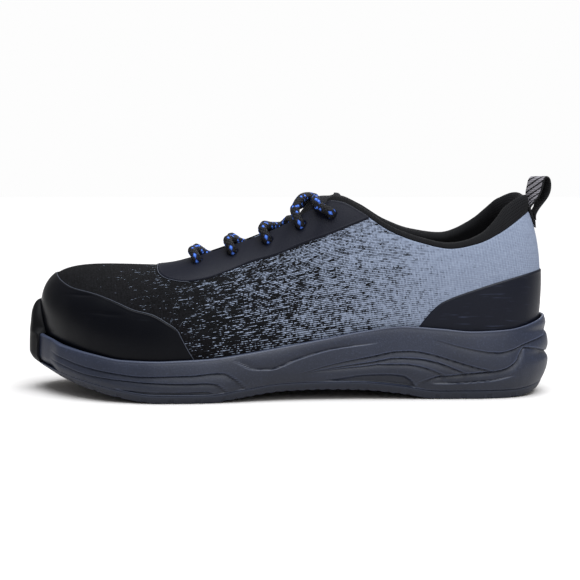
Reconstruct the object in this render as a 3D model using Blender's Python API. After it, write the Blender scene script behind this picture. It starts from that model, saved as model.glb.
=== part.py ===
"""Low-cut safety sneaker, left shoe, built as its maker builds it.

Frame: metres, +Z up. The toe points along -X and the heel along +X, and the outer (lateral) side of
the foot faces -Y. The origin is on the floor under the middle of the heel's flat spot.

Every closed outline runs round the shoe by one number, the column c: 0 is the middle of the heel,
-1 and +1 are both the tip of the toe, negative columns lie on the lateral side and positive ones on
the medial side. A station is a share of the shoe's length, counted from the back of the heel.
"""

import math

import bmesh
import bpy
import numpy as np
from mathutils import Matrix, Vector

# Overall sizes
LENGTH = 0.302
BALL_WIDTH = 0.110
HEEL_REST = 0.046
INSTEP_HEIGHT = 0.1098
HEEL_HEIGHT = 0.104
ANKLE_HEIGHT = 0.0831
TOE_HEIGHT = 0.0724

# Sole
HEEL_WALL = 0.0404
FORE_WALL = 0.0228
HEEL_FOOTBED = 0.024
FORE_FOOTBED = 0.0132
TOE_SPRING = 0.0135
ARCH_RISE = 0.0055
HEEL_BEVEL = 0.004
HEEL_TUCK = 0.0062
SIDE_TUCK = 0.003
TOE_TUCK = 0.0100
LIP_TUCK = 0.0032
TOE_LIP_TUCK = 0.0005
OUTSOLE_THICKNESS = 0.0045
LUG_DEPTH = 0.0026
LUG_PITCH = 0.0146
LUG_GROOVE = 0.0030
CHEVRON = 0.007
GROOVE_DEPTH = 0.0013
BAND_DEPTH = 0.0016
BUMPER_THICKNESS = 0.0024
BUMPER_PROUD = 0.0004
BUMPER_HEIGHT = 0.0520
BUMPER_LEAN = 0.0020
BUMPER_WIDTH = 0.054

# Upper and what is on it
UPPER_WALL = 0.0024
UPPER_INSET = 0.0078
TOE_INSET = 0.0092
HEEL_INSET = 0.0095
FILM = 0.0010
FILM_GAP = 0.0005
EYESTAY_FRONT = 0.0072
EYELET_DIAMETER = 0.0052
EYELET_SET_BACK = 0.0115
PAD_THICKNESS = 0.0062
PAD_DEPTH = 0.034
PAD_RISE = 0.0125
TONGUE_THICKNESS = 0.0035
TONGUE_WING = 0.0125
TONGUE_CROWN = -0.12
TONGUE_LIFT = 0.003
TONGUE_TOP = 0.446
TONGUE_FRONT = 0.955
INSOLE_THICKNESS = 0.004
LACE_DIAMETER = 0.0050
LACE_ARCH = 0.0090
LACE_LEAN = 0.0020
LOOP_WIDTH = 0.014
LOOP_THICKNESS = 0.0013
LOOP_REACH = 0.0114
LOOP_RISE = 0.0195
GAP = 0.0003
SOLE_GAP = 0.0005

COLUMNS = 64
FILM_FOOT = 0.03

# The sole's greatest outline: station, half width and sideways shift as shares of the ball width
PLAN = [
    # station, half width, shift towards the medial side
    (0.000, 0.000, 0.000),
    (0.020, 0.181, 0.000),
    (0.050, 0.265, 0.000),
    (0.100, 0.323, 0.000),
    (0.160, 0.347, 0.000),
    (0.250, 0.350, -0.005),
    (0.350, 0.341, -0.018),
    (0.450, 0.355, -0.023),
    (0.530, 0.395, -0.018),
    (0.610, 0.455, -0.009),
    (0.680, 0.491, 0.000),
    (0.735, 0.500, 0.005),
    (0.800, 0.484, 0.023),
    (0.870, 0.427, 0.050),
    (0.920, 0.350, 0.073),
    (0.960, 0.253, 0.086),
    (0.983, 0.166, 0.091),
    (1.000, 0.000, 0.095),
]

# Heights along the sole: its underside, the top of its side wall and the footbed
SOLE_LEVELS = [
    # station, underside, top of the wall, footbed
    (0.00, 1.00 * HEEL_BEVEL, 1.100 * HEEL_WALL, 1.00 * HEEL_FOOTBED),
    (0.03, 0.50 * HEEL_BEVEL, 1.035 * HEEL_WALL, 1.00 * HEEL_FOOTBED),
    (0.09, 0.00, 0.945 * HEEL_WALL, 1.00 * HEEL_FOOTBED),
    (0.16, 0.00, 0.926 * HEEL_WALL, 1.00 * HEEL_FOOTBED),
    (0.22, 0.00, 0.965 * HEEL_WALL, 1.00 * HEEL_FOOTBED),
    (0.29, 0.53 * ARCH_RISE, 1.000 * HEEL_WALL, 0.98 * HEEL_FOOTBED),
    (0.36, 0.92 * ARCH_RISE, 0.940 * HEEL_WALL, 0.94 * HEEL_FOOTBED),
    (0.43, 1.02 * ARCH_RISE, 0.840 * HEEL_WALL, 0.86 * HEEL_FOOTBED),
    (0.50, 0.95 * ARCH_RISE, 0.745 * HEEL_WALL, 0.76 * HEEL_FOOTBED),
    (0.59, 0.35 * ARCH_RISE, 1.130 * FORE_WALL, 1.15 * FORE_FOOTBED),
    (0.635, 0.00, 1.060 * FORE_WALL, 1.03 * FORE_FOOTBED),
    (0.70, 0.00, 1.020 * FORE_WALL, 1.00 * FORE_FOOTBED),
    (0.735, 0.00, 1.005 * FORE_WALL, 1.00 * FORE_FOOTBED),
    (0.80, 0.17 * TOE_SPRING, 1.020 * FORE_WALL, 1.08 * FORE_FOOTBED),
    (0.86, 0.41 * TOE_SPRING, 1.130 * FORE_WALL, 1.28 * FORE_FOOTBED),
    (0.92, 0.68 * TOE_SPRING, 1.275 * FORE_WALL, 1.58 * FORE_FOOTBED),
    (0.96, 0.87 * TOE_SPRING, 1.410 * FORE_WALL, 1.82 * FORE_FOOTBED),
    (1.00, 1.00 * TOE_SPRING, 1.520 * FORE_WALL, 1.97 * FORE_FOOTBED),
]

# How far the side wall lies inside the greatest outline, by its height
WALL_PROFILE = [
    # height in the wall, share of the bottom's tuck, share of the lip's tuck
    (0.00, 1.00, 0.00),
    (0.08, 0.72, 0.00),
    (0.18, 0.38, 0.00),
    (0.30, 0.12, 0.00),
    (0.44, 0.00, 0.03),
    (0.60, 0.00, 0.15),
    (0.80, 0.00, 0.42),
    (0.92, 0.00, 0.68),
    (1.00, 0.00, 1.00),
]

# The three moulded lines that run round the side wall, and how deep each is cut there
MOULDED_LINES = [
    # station, lower line, its depth, middle line, its depth, upper line, its depth
    (0.000, 0.20, 0.0, 0.48, 2.0, 0.80, 1.9),
    (0.040, 0.24, 0.2, 0.54, 1.0, 0.78, 1.2),
    (0.070, 0.30, 0.6, 0.62, 0.9, 0.76, 1.0),
    (0.090, 0.31, 0.9, 0.48, 1.0, 0.71, 1.0),
    (0.120, 0.27, 1.0, 0.42, 1.0, 0.69, 1.0),
    (0.170, 0.24, 1.0, 0.50, 1.0, 0.75, 0.9),
    (0.220, 0.22, 0.7, 0.60, 1.0, 0.83, 0.5),
    (0.280, 0.25, 0.8, 0.66, 1.0, 0.85, 0.0),
    (0.330, 0.30, 1.0, 0.60, 1.0, 0.80, 0.1),
    (0.400, 0.24, 1.0, 0.52, 0.9, 0.78, 0.5),
    (0.460, 0.19, 0.6, 0.41, 0.5, 0.72, 0.8),
    (0.530, 0.12, 0.1, 0.27, 0.0, 0.56, 1.0),
    (0.570, 0.08, 0.2, 0.22, 0.3, 0.66, 1.0),
    (0.600, 0.15, 0.7, 0.48, 0.9, 0.86, 0.5),
    (0.630, 0.38, 0.9, 0.66, 1.0, 0.90, 0.0),
    (0.700, 0.45, 1.0, 0.66, 1.0, 0.88, 0.0),
    (0.800, 0.43, 1.0, 0.64, 1.0, 0.86, 0.0),
    (0.900, 0.41, 0.9, 0.64, 0.9, 0.86, 0.0),
    (1.000, 0.41, 0.5, 0.66, 0.5, 0.86, 0.0),
]

# The bands between the moulded lines stand proud (positive) or lie back
MOULDED_BANDS = [
    # station, band above the lower line, band above the middle line
    (0.00, 0.0, 0.0),
    (0.06, 0.3, -0.4),
    (0.14, 0.1, -0.6),
    (0.22, -0.8, 0.1),
    (0.32, -1.0, 0.3),
    (0.42, -0.8, 0.3),
    (0.52, -0.2, 0.4),
    (0.60, 0.0, 0.2),
    (0.66, -0.4, 0.0),
    (0.90, -0.3, 0.0),
    (1.00, 0.0, 0.0),
]

# Rows of the toe bumper
BUMPER_ROWS = [
    # share of the side wall's height, share of the height above its lip, face drawn back by
    # a share of the bumper's thickness
    (0.16, 0.00, 0.00),
    (0.28, 0.00, 0.00),
    (0.40, 0.00, 0.00),
    (0.58, 0.00, 0.00),
    (0.80, 0.00, 0.00),
    (1.00, 0.00, 0.00),
    (1.00, 0.15, 0.02),
    (1.00, 0.78, 0.10),
    (1.00, 0.93, 0.35),
    (1.00, 1.00, 0.85),
]

# The edge of the opening: collar, top corner of the eyestay, throat
OPENING = [
    # column, station, half width by ball width, lateral height, medial height
    (0.000, 0.0417, 0.000, 1.000 * HEEL_HEIGHT, 1.000 * HEEL_HEIGHT),
    (0.050, 0.0464, 0.070, 0.993 * HEEL_HEIGHT, 1.000 * HEEL_HEIGHT),
    (0.100, 0.0596, 0.128, 0.970 * HEEL_HEIGHT, 0.995 * HEEL_HEIGHT),
    (0.150, 0.0811, 0.175, 0.928 * HEEL_HEIGHT, 0.970 * HEEL_HEIGHT),
    (0.200, 0.1100, 0.211, 0.876 * HEEL_HEIGHT, 0.937 * HEEL_HEIGHT),
    (0.250, 0.1500, 0.238, 1.032 * ANKLE_HEIGHT, 1.108 * ANKLE_HEIGHT),
    (0.300, 0.2000, 0.252, 1.000 * ANKLE_HEIGHT, 1.052 * ANKLE_HEIGHT),
    (0.350, 0.2600, 0.256, 1.045 * ANKLE_HEIGHT, 1.082 * ANKLE_HEIGHT),
    (0.390, 0.3130, 0.242, 0.848 * INSTEP_HEIGHT, 0.872 * INSTEP_HEIGHT),
    (0.420, 0.3620, 0.215, 0.938 * INSTEP_HEIGHT, 0.954 * INSTEP_HEIGHT),
    (0.445, 0.3980, 0.188, 0.991 * INSTEP_HEIGHT, 0.998 * INSTEP_HEIGHT),
    (0.465, 0.4170, 0.171, 1.000 * INSTEP_HEIGHT, 1.004 * INSTEP_HEIGHT),
    (0.485, 0.4340, 0.162, 0.980 * INSTEP_HEIGHT, 0.983 * INSTEP_HEIGHT),
    (0.520, 0.4680, 0.152, 0.932 * INSTEP_HEIGHT, 0.934 * INSTEP_HEIGHT),
    (0.550, 0.4980, 0.145, 0.883 * INSTEP_HEIGHT, 0.885 * INSTEP_HEIGHT),
    (0.600, 0.5430, 0.136, 0.828 * INSTEP_HEIGHT, 0.830 * INSTEP_HEIGHT),
    (0.650, 0.5830, 0.128, 0.785 * INSTEP_HEIGHT, 0.786 * INSTEP_HEIGHT),
    (0.700, 0.6210, 0.117, 0.750 * INSTEP_HEIGHT, 0.751 * INSTEP_HEIGHT),
    (0.750, 0.6560, 0.102, 1.087 * TOE_HEIGHT, 1.087 * TOE_HEIGHT),
    (0.800, 0.6820, 0.085, 1.051 * TOE_HEIGHT, 1.051 * TOE_HEIGHT),
    (0.850, 0.7020, 0.064, 1.027 * TOE_HEIGHT, 1.027 * TOE_HEIGHT),
    (0.900, 0.7152, 0.042, 1.012 * TOE_HEIGHT, 1.012 * TOE_HEIGHT),
    (0.950, 0.7232, 0.021, 1.003 * TOE_HEIGHT, 1.003 * TOE_HEIGHT),
    (1.000, 0.7258, 0.000, 1.000 * TOE_HEIGHT, 1.000 * TOE_HEIGHT),
]

# How the wall of the upper curves from the footbed to the opening, as a cubic with two pulls
UPPER_CURVE = [
    # column, lean outwards in degrees, lower pull, slope at the opening in degrees, upper pull
    (0.00, 10.5, 0.330, 66.0, 0.300),
    (0.20, 12.0, 0.330, 69.0, 0.300),
    (0.30, 10.0, 0.330, 72.0, 0.300),
    (0.40, 8.0, 0.350, 66.0, 0.320),
    (0.47, 7.0, 0.380, 56.0, 0.360),
    (0.55, 7.0, 0.420, 47.0, 0.420),
    (0.65, 8.0, 0.460, 37.0, 0.460),
    (0.75, 10.0, 0.520, 25.0, 0.530),
    (0.85, 11.5, 0.575, 12.0, 0.590),
    (0.95, 11.3, 0.612, 2.0, 0.650),
    (1.00, 11.0, 0.620, -0.5, 0.660),
]

# Rows of the upper from the footbed (0) to the opening (1), closest at the shoulder of the toe
UPPER_ROWS = (0.0, 0.10, 0.20, 0.30, 0.40, 0.51, 0.66, 0.83, 1.0)

# Upper edge of the toe cap, seen from the side
TOE_CAP_EDGE = [
    # station, height by the toe's height
    (0.640, 0.080),
    (0.667, 0.314),
    (0.678, 0.392),
    (0.688, 0.469),
    (0.698, 0.546),
    (0.717, 0.601),
    (0.743, 0.657),
    (0.777, 0.689),
    (0.808, 0.736),
    (0.843, 0.783),
    (0.865, 0.804),
    (0.902, 0.833),
    (0.929, 0.881),
    (0.943, 0.921),
    (0.970, 1.000),
]

# Upper edge of the heel counter, seen from the side
COUNTER_EDGE = [
    # station, height by the heel's height
    (0.000, 0.688),
    (0.016, 0.683),
    (0.085, 0.642),
    (0.158, 0.580),
    (0.205, 0.531),
    (0.219, 0.511),
    (0.235, 0.471),
    (0.259, 0.387),
    (0.285, 0.280),
    (0.330, 0.050),
]

# How far the padded collar rises above the edge of the upper
PAD_ROLL = [
    # column, share of the greatest rise
    (0.00, 0.78),
    (0.05, 0.88),
    (0.10, 1.00),
    (0.15, 1.00),
    (0.20, 0.75),
    (0.23, 0.52),
    (0.27, 0.36),
    (0.32, 0.32),
    (0.50, 0.32),
    (1.00, 0.32),
]

# Lower edge of the eyestay, seen from the side, from the collar to its front
EYESTAY_EDGE = [
    # station, height by the instep's height
    (0.330, 0.942),
    (0.343, 0.917),
    (0.385, 0.868),
    (0.422, 0.827),
    (0.477, 0.772),
    (0.523, 0.720),
    (0.569, 0.685),
    (0.606, 0.644),
    (0.652, 0.603),
    (0.689, 0.590),
    (0.718, 0.600),
    (0.737, 0.622),
    (0.746, 0.658),
    (0.750, 0.740),
    (0.754, 0.960),
]

# Columns of the eyelets, from the toe end to the top
EYELETS = (0.722, 0.645, 0.573, 0.514, 0.462)

# The heel pull loop, seen from the side: how far behind the heel's back and above its edge
LOOP_PATH = [
    # backwards by the loop's reach, upwards by its rise, both from the heel's top edge
    (-0.035, 0.436),
    (-0.026, 0.718),
    (0.123, 0.923),
    (0.439, 1.000),
    (0.789, 0.938),
    (1.000, 0.769),
    (0.930, 0.436),
    (0.702, 0.077),
    (0.474, -0.205),
]
LOOP_TWIST = 14.0
LOOP_SEWN = 0.0115


def through(table, at):
    """Smooth curve through a table's rows: cubic pieces that never overshoot a row."""
    rows = np.array(table, float)
    x, y = rows[:, 0], rows[:, 1:]
    at = np.asarray(at, float)
    step = np.diff(x)[:, None]
    rise = np.diff(y, axis=0) / step
    slope = np.zeros_like(y)
    same = rise[:-1] * rise[1:] > 0
    before, after = step[:-1], step[1:]
    mean = (2 * after + before) * rise[1:] + (after + 2 * before) * rise[:-1]
    inner = 3 * (before + after) * rise[:-1] * rise[1:]
    slope[1:-1] = np.where(same, inner / np.where(same, mean, 1.0), 0.0)
    slope[0], slope[-1] = rise[0], rise[-1]
    i = np.clip(np.searchsorted(x, at, side="right") - 1, 0, len(x) - 2)
    t = np.clip((at - x[i]) / step[i, 0], 0.0, 1.0)[..., None]
    left = y[i] * (1 + 2 * t) * (1 - t) ** 2 + slope[i] * step[i] * t * (1 - t) ** 2
    right = y[i + 1] * (3 - 2 * t) * t**2 + slope[i + 1] * step[i] * t**2 * (t - 1)
    return left + right


def closed_through(table, c):
    """The same curve for a table by column, mirrored at heel and toe so that it closes smoothly."""
    rows = np.array(table, float)
    before = rows[1:3][::-1].copy()
    before[:, 0] *= -1
    after = rows[-3:-1][::-1].copy()
    after[:, 0] = 2 - after[:, 0]
    return through(np.vstack([before, rows, after]), np.abs(c))


def ease(x):
    """Smooth step from 0 to 1."""
    x = np.clip(x, 0.0, 1.0)
    return x * x * (3 - 2 * x)


def place(s, y, z):
    """World points from distance along the shoe, sideways place and height."""
    s, y, z = np.broadcast_arrays(s, y, z)
    return np.stack([HEEL_REST - s, y, z], axis=-1)


def wrapped(c):
    """Columns brought back between -1 and 1."""
    return (np.asarray(c, float) + 1) % 2 - 1


def half_outline(s):
    """Half width and sideways shift of the sole at distance s; squares make its ends round."""
    rows = np.array(PLAN, float)
    rows[:, 1] = rows[:, 1] ** 2
    value = through(rows, np.clip(s / LENGTH, 0.0, 1.0))
    return np.sqrt(np.maximum(value[..., 0], 0.0)) * BALL_WIDTH, value[..., 1] * BALL_WIDTH


def outline(c, inset=0.0):
    """Plan points (along, sideways) of the sole at each column, moved inwards by inset."""

    def on_edge(at):
        at = wrapped(at)
        s = LENGTH * (1 - np.cos(np.pi * np.abs(at))) / 2
        width, shift = half_outline(s)
        return np.stack([s, shift + np.sign(at) * width], axis=-1)

    near = 0.004
    c = np.asarray(c, float)
    along = on_edge(c + near) - on_edge(c - near)
    along /= np.linalg.norm(along, axis=-1, keepdims=True)
    outwards = np.stack([-along[..., 1], along[..., 0]], axis=-1)
    return on_edge(c) - outwards * np.asarray(inset)[..., None], outwards


def levels(c):
    """Underside, top of the side wall and footbed at each column."""
    s = (1 - np.cos(np.pi * np.abs(wrapped(c)))) / 2
    value = through(SOLE_LEVELS, s)
    return value[..., 0], value[..., 1], value[..., 2]


def bumper_share(c, spread=0.0):
    """1 where the toe bumper stands, fading to 0 at its sides, which spread moves outwards."""
    plan, _ = outline(c)
    middle = PLAN[-1][2] * BALL_WIDTH
    aside = np.abs(plan[..., 1] - middle) / (BUMPER_WIDTH / 2)
    return np.where(plan[..., 0] > 0.8 * LENGTH, ease((1.0 + spread - aside) / 0.35), 0.0)


def wall_inset(c, h):
    """How far the side wall lies inside the greatest outline at column c and height share h."""
    at = np.abs(wrapped(c))
    heel, toe = ease(1 - at / 0.25), ease((at - 0.70) / 0.28)
    tuck = SIDE_TUCK + (HEEL_TUCK - SIDE_TUCK) * heel + (TOE_TUCK - SIDE_TUCK) * toe
    lip = LIP_TUCK + (TOE_LIP_TUCK - LIP_TUCK) * toe
    share = through(WALL_PROFILE, h)
    return tuck * share[..., 0] + lip * share[..., 1]


def sole_wall(c, h, inset=0.0):
    """Points of the sole's side wall, from its underside (h 0) to its lip (h 1)."""
    low, high, _ = levels(c)
    plan, _ = outline(c, wall_inset(c, h) + inset)
    return place(plan[..., 0], plan[..., 1], low + (high - low) * h)


def foot_inset(c):
    """How far the upper's lower edge lies inside the sole's greatest outline."""
    at = np.abs(wrapped(c))
    toe, heel = ease((at - 0.72) / 0.2), ease(1 - at / 0.22)
    return UPPER_INSET + (TOE_INSET - UPPER_INSET) * toe + (HEEL_INSET - UPPER_INSET) * heel


def upper_point(c, v):
    """The outer surface of the upper: a cubic from the footbed to the opening in each column."""
    c, v = np.broadcast_arrays(np.asarray(c, float), np.asarray(v, float))
    c = wrapped(c)
    plan, outwards = outline(c, foot_inset(c))
    start = place(plan[..., 0], plan[..., 1], levels(c)[2] + GAP)
    edge = closed_through(OPENING, c)
    height = np.where(c < 0, edge[..., 2], edge[..., 3])
    side = np.sign(c) * edge[..., 1] * BALL_WIDTH
    end = place(edge[..., 0] * LENGTH, side, height)
    curve = closed_through(UPPER_CURVE, c)
    lean, slope = np.radians(curve[..., 0]), np.radians(curve[..., 2])
    chord = np.linalg.norm(end - start, axis=-1)
    out_x, out_y = -outwards[..., 0], outwards[..., 1]
    rise = np.stack([out_x * np.sin(lean), out_y * np.sin(lean), np.cos(lean)], axis=-1)
    away = start - end
    away[..., 2] = 0.0
    away /= np.maximum(np.linalg.norm(away, axis=-1, keepdims=True), 1e-6)
    outer = np.stack([out_x, out_y, np.zeros_like(out_x)], axis=-1)
    mix = ease((np.abs(c) - 0.30) / 0.25)[..., None]
    away = outer * (1 - mix) + away * mix
    away /= np.linalg.norm(away, axis=-1, keepdims=True)
    fall = away * np.cos(slope)[..., None]
    fall[..., 2] = -np.sin(slope)
    first = start + rise * (curve[..., 1] * chord)[..., None]
    second = end + fall * (curve[..., 3] * chord)[..., None]
    t = v[..., None]
    return (
        start * (1 - t) ** 3
        + first * 3 * t * (1 - t) ** 2
        + second * 3 * t**2 * (1 - t)
        + end * t**3
    )


def upper_normal(c, v):
    """Outward unit normal of the upper's surface."""
    near = 0.002
    c, v = np.broadcast_arrays(np.asarray(c, float), np.asarray(v, float))
    low, high = np.clip(v - near, 0, 1), np.clip(v + near, 0, 1)
    round_ = upper_point(c + near, v) - upper_point(c - near, v)
    up = upper_point(c, high) - upper_point(c, low)
    normal = np.cross(round_, up)
    return normal / np.linalg.norm(normal, axis=-1, keepdims=True)


def upper_skin(c, v, lift=0.0):
    """The upper's surface moved outwards by lift, or inwards where it is negative."""
    return upper_point(c, v) + upper_normal(c, v) * np.asarray(lift)[..., None]


def row_below(c, edge, height):
    """The highest row in each column that lies under an edge drawn in the side view."""
    v = np.linspace(0, 1, 241)
    points = upper_point(np.asarray(c)[:, None], v[None, :])
    s = (HEEL_REST - points[..., 0]) / LENGTH
    under = points[..., 2] < through(edge, s)[..., 0] * height
    return np.where(under.all(axis=1), 1.0, v[np.argmin(under, axis=1)])


def row_at_depth(c, depth):
    """The row in each column that lies depth below the opening, measured along the wall."""
    v = np.linspace(0, 1, 241)
    points = upper_point(np.asarray(c)[:, None], v[None, :])
    steps = np.linalg.norm(np.diff(points, axis=1), axis=-1)
    left = np.cumsum(steps[:, ::-1], axis=1)[:, ::-1]
    left = np.concatenate([left, np.zeros((len(left), 1))], axis=1)
    return np.array([np.interp(d, row[::-1], v[::-1]) for d, row in zip(depth, left)])


def film_share(c):
    """1 where the toe cap or the heel counter lies under the sole's lip, 0 between them."""
    at = np.abs(wrapped(c))
    return np.maximum(ease((at - 0.55) / 0.05), ease((0.43 - at) / 0.05))


class Skin:
    """Collects the points and faces of one body."""

    def __init__(self):
        self.points, self.faces = [], []

    def row(self, points):
        """Adds a row of points and returns their numbers."""
        first = len(self.points)
        self.points.extend(tuple(map(float, p)) for p in points)
        return list(range(first, first + len(points)))

    def band(self, a, b, closed, split=False):
        """Quads between two rows, or pairs of triangles that always share the same diagonal."""
        count = len(a) if closed else len(a) - 1
        for i in range(count):
            j = (i + 1) % len(a)
            if split:
                self.faces += [(a[i], a[j], b[j]), (a[i], b[j], b[i])]
            else:
                self.faces.append((a[i], a[j], b[j], b[i]))

    def across(self, ring, steps):
        """Closes a ring of columns by strips from the lateral side to the medial side."""
        count = len(ring)
        points = np.array(self.points)
        lines = []
        for k in range(count // 2 + 1):
            a, b = ring[k], ring[(count - k) % count]
            if a == b:
                lines.append([a] * (steps + 1))
                continue
            t = np.linspace(0, 1, steps + 1)[1:-1, None]
            between = points[a] * (1 - t) + points[b] * t
            lines.append([a] + self.row(between) + [b])
        for one, two in zip(lines[:-1], lines[1:]):
            for i in range(steps):
                face = [one[i], one[i + 1], two[i + 1], two[i]]
                face = list(dict.fromkeys(face))
                if len(face) > 2:
                    self.faces.append(tuple(face))

    def build(self, name, collection, material):
        """Makes the object, with its doubles merged and its faces pointing out."""
        mesh = bpy.data.meshes.new(name)
        mesh.from_pydata(self.points, [], self.faces)
        work = bmesh.new()
        work.from_mesh(mesh)
        bmesh.ops.remove_doubles(work, verts=work.verts, dist=2e-5)
        bmesh.ops.dissolve_degenerate(work, edges=work.edges, dist=2e-5)
        bmesh.ops.recalc_face_normals(work, faces=work.faces)
        work.to_mesh(mesh)
        work.free()
        mesh.shade_smooth()
        mesh.set_sharp_from_angle(angle=math.radians(35))
        mesh.materials.append(material)
        thing = bpy.data.objects.new(name, mesh)
        collection.objects.link(thing)
        return thing


def shell(outer, inner, closed):
    """A body between two grids of points with like rows, closed round its edges."""
    skin = Skin()
    tops = [skin.row(r) for r in outer]
    bottoms = [skin.row(r) for r in inner]
    for rows in (tops, bottoms):
        for a, b in zip(rows[:-1], rows[1:]):
            skin.band(a, b, closed, True)
    skin.band(tops[0], bottoms[0], closed)
    skin.band(tops[-1], bottoms[-1], closed)
    if not closed:
        for end in (0, -1):
            a = [row[end] for row in tops]
            b = [row[end] for row in bottoms]
            skin.band(a, b, False)
    return skin


def material(name, colour, roughness, metallic=0.0):
    """A Principled BSDF with one colour."""
    made = bpy.data.materials.new(name)
    made.use_nodes = True
    shader = made.node_tree.nodes["Principled BSDF"]
    shader.inputs["Base Color"].default_value = (*colour, 1.0)
    shader.inputs["Roughness"].default_value = roughness
    shader.inputs["Metallic"].default_value = metallic
    made.diffuse_color = (*colour, 1.0)
    return made


def ring_columns():
    """The columns of a closed ring, from the toe along the lateral side to the heel and back."""
    return -1 + 2 * np.arange(COLUMNS) / COLUMNS


def midsole_foot(c):
    """The lowest ring of the midsole, which the outsole's top follows."""
    low, high, _ = levels(c)
    set_back = bumper_share(c, 0.5) * (BUMPER_THICKNESS - BUMPER_PROUD + GAP)
    return sole_wall(c, (OUTSOLE_THICKNESS + GAP) / (high - low), set_back)


def moulded_rows(c):
    """Heights and offsets of the side wall's rows, which follow the three moulded lines."""
    s = (1 - np.cos(np.pi * np.abs(c))) / 2
    lines = through(MOULDED_LINES, s)
    bands = through(MOULDED_BANDS, s) * BAND_DEPTH
    base = OUTSOLE_THICKNESS + GAP
    low, high, _ = levels(c)
    first = base / (high - low)
    lip = 0.3 * (1 - lines[:, 4])
    edge = 0.022
    rows = [(first, 0 * s)]
    floor = first + 0.02
    levels_of_bands = [0 * s, bands[:, 0], bands[:, 1], 0 * s]
    for number, (below, above) in enumerate(zip(levels_of_bands[:-1], levels_of_bands[1:])):
        height = np.maximum(lines[:, 2 * number], floor + edge + 0.01)
        depth = lines[:, 2 * number + 1] * GROOVE_DEPTH
        rows.append((height - edge, -below))
        rows.append((height, depth - np.minimum(below, above)))
        rows.append((height + edge, -above))
        floor = height + edge
    rows.append((np.maximum(1 - lip, floor + 0.01), 0 * s))
    rows.append((np.full_like(s, 0.985), 0 * s))
    return rows


def build_midsole(collection, finish):
    """The moulded cup: side wall, lip, inner wall against the upper, footbed and underside."""
    c = ring_columns()
    low, high, footbed = levels(c)
    set_back = bumper_share(c, 0.5) * (BUMPER_THICKNESS - BUMPER_PROUD + GAP)
    skin = Skin()
    rings = [sole_wall(c, h, offset + set_back) for h, offset in moulded_rows(c)]
    clear = GAP + film_share(c) * (FILM + 2 * GAP)
    inner_rows = []
    for share in (1.0, 0.45, 0.0):
        level = footbed + (high - footbed) * share
        v = row_at_height(c, level)
        inner_rows.append(upper_skin(c, v, clear))
    lip_in = inner_rows[0].copy()
    lip_out = rings[-1]
    crown = (lip_in + lip_out) / 2
    crown[:, 2] = high + 0.0004
    floor = inner_rows[-1].copy()
    floor[:, 2] = footbed
    rows = rings + [crown] + inner_rows[:-1] + [floor]
    numbers = [skin.row(r) for r in rows]
    for a, b in zip(numbers[:-1], numbers[1:]):
        skin.band(a, b, True)
    skin.across(numbers[0], 2)
    skin.across(numbers[-1], 2)
    return skin.build("midsole", collection, finish)


def row_at_height(c, level):
    """The row of the upper in each column that reaches a height."""
    v = np.linspace(0, 0.6, 121)
    points = upper_point(np.asarray(c)[:, None], v[None, :])
    return np.array([np.interp(z, row, v) for z, row in zip(level, points[..., 2])])


def lug_stations():
    """Distances along the outsole where a lug starts or ends, with the groove's depth share."""
    wall = 0.0007
    stops = []
    arch_start, arch_end = 0.26 * LENGTH, 0.60 * LENGTH
    middle = HEEL_REST - 2.5 * LUG_PITCH
    while middle < LENGTH - TOE_TUCK - 0.010:
        a, b = middle - LUG_GROOVE / 2, middle + LUG_GROOVE / 2
        if middle > 0.02 and not arch_start < middle < arch_end:
            stops += [(a, 0.0), (a + wall, 1.0), (b - wall, 1.0), (b, 0.0)]
        middle += LUG_PITCH
    ring = LENGTH * (1 - np.cos(2 * np.pi * np.arange(COLUMNS // 2) / COLUMNS)) / 2
    stops += [(s, 0.0) for s in ring if arch_start - 0.003 < s < arch_end + 0.004]
    return sorted(stops)


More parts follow.
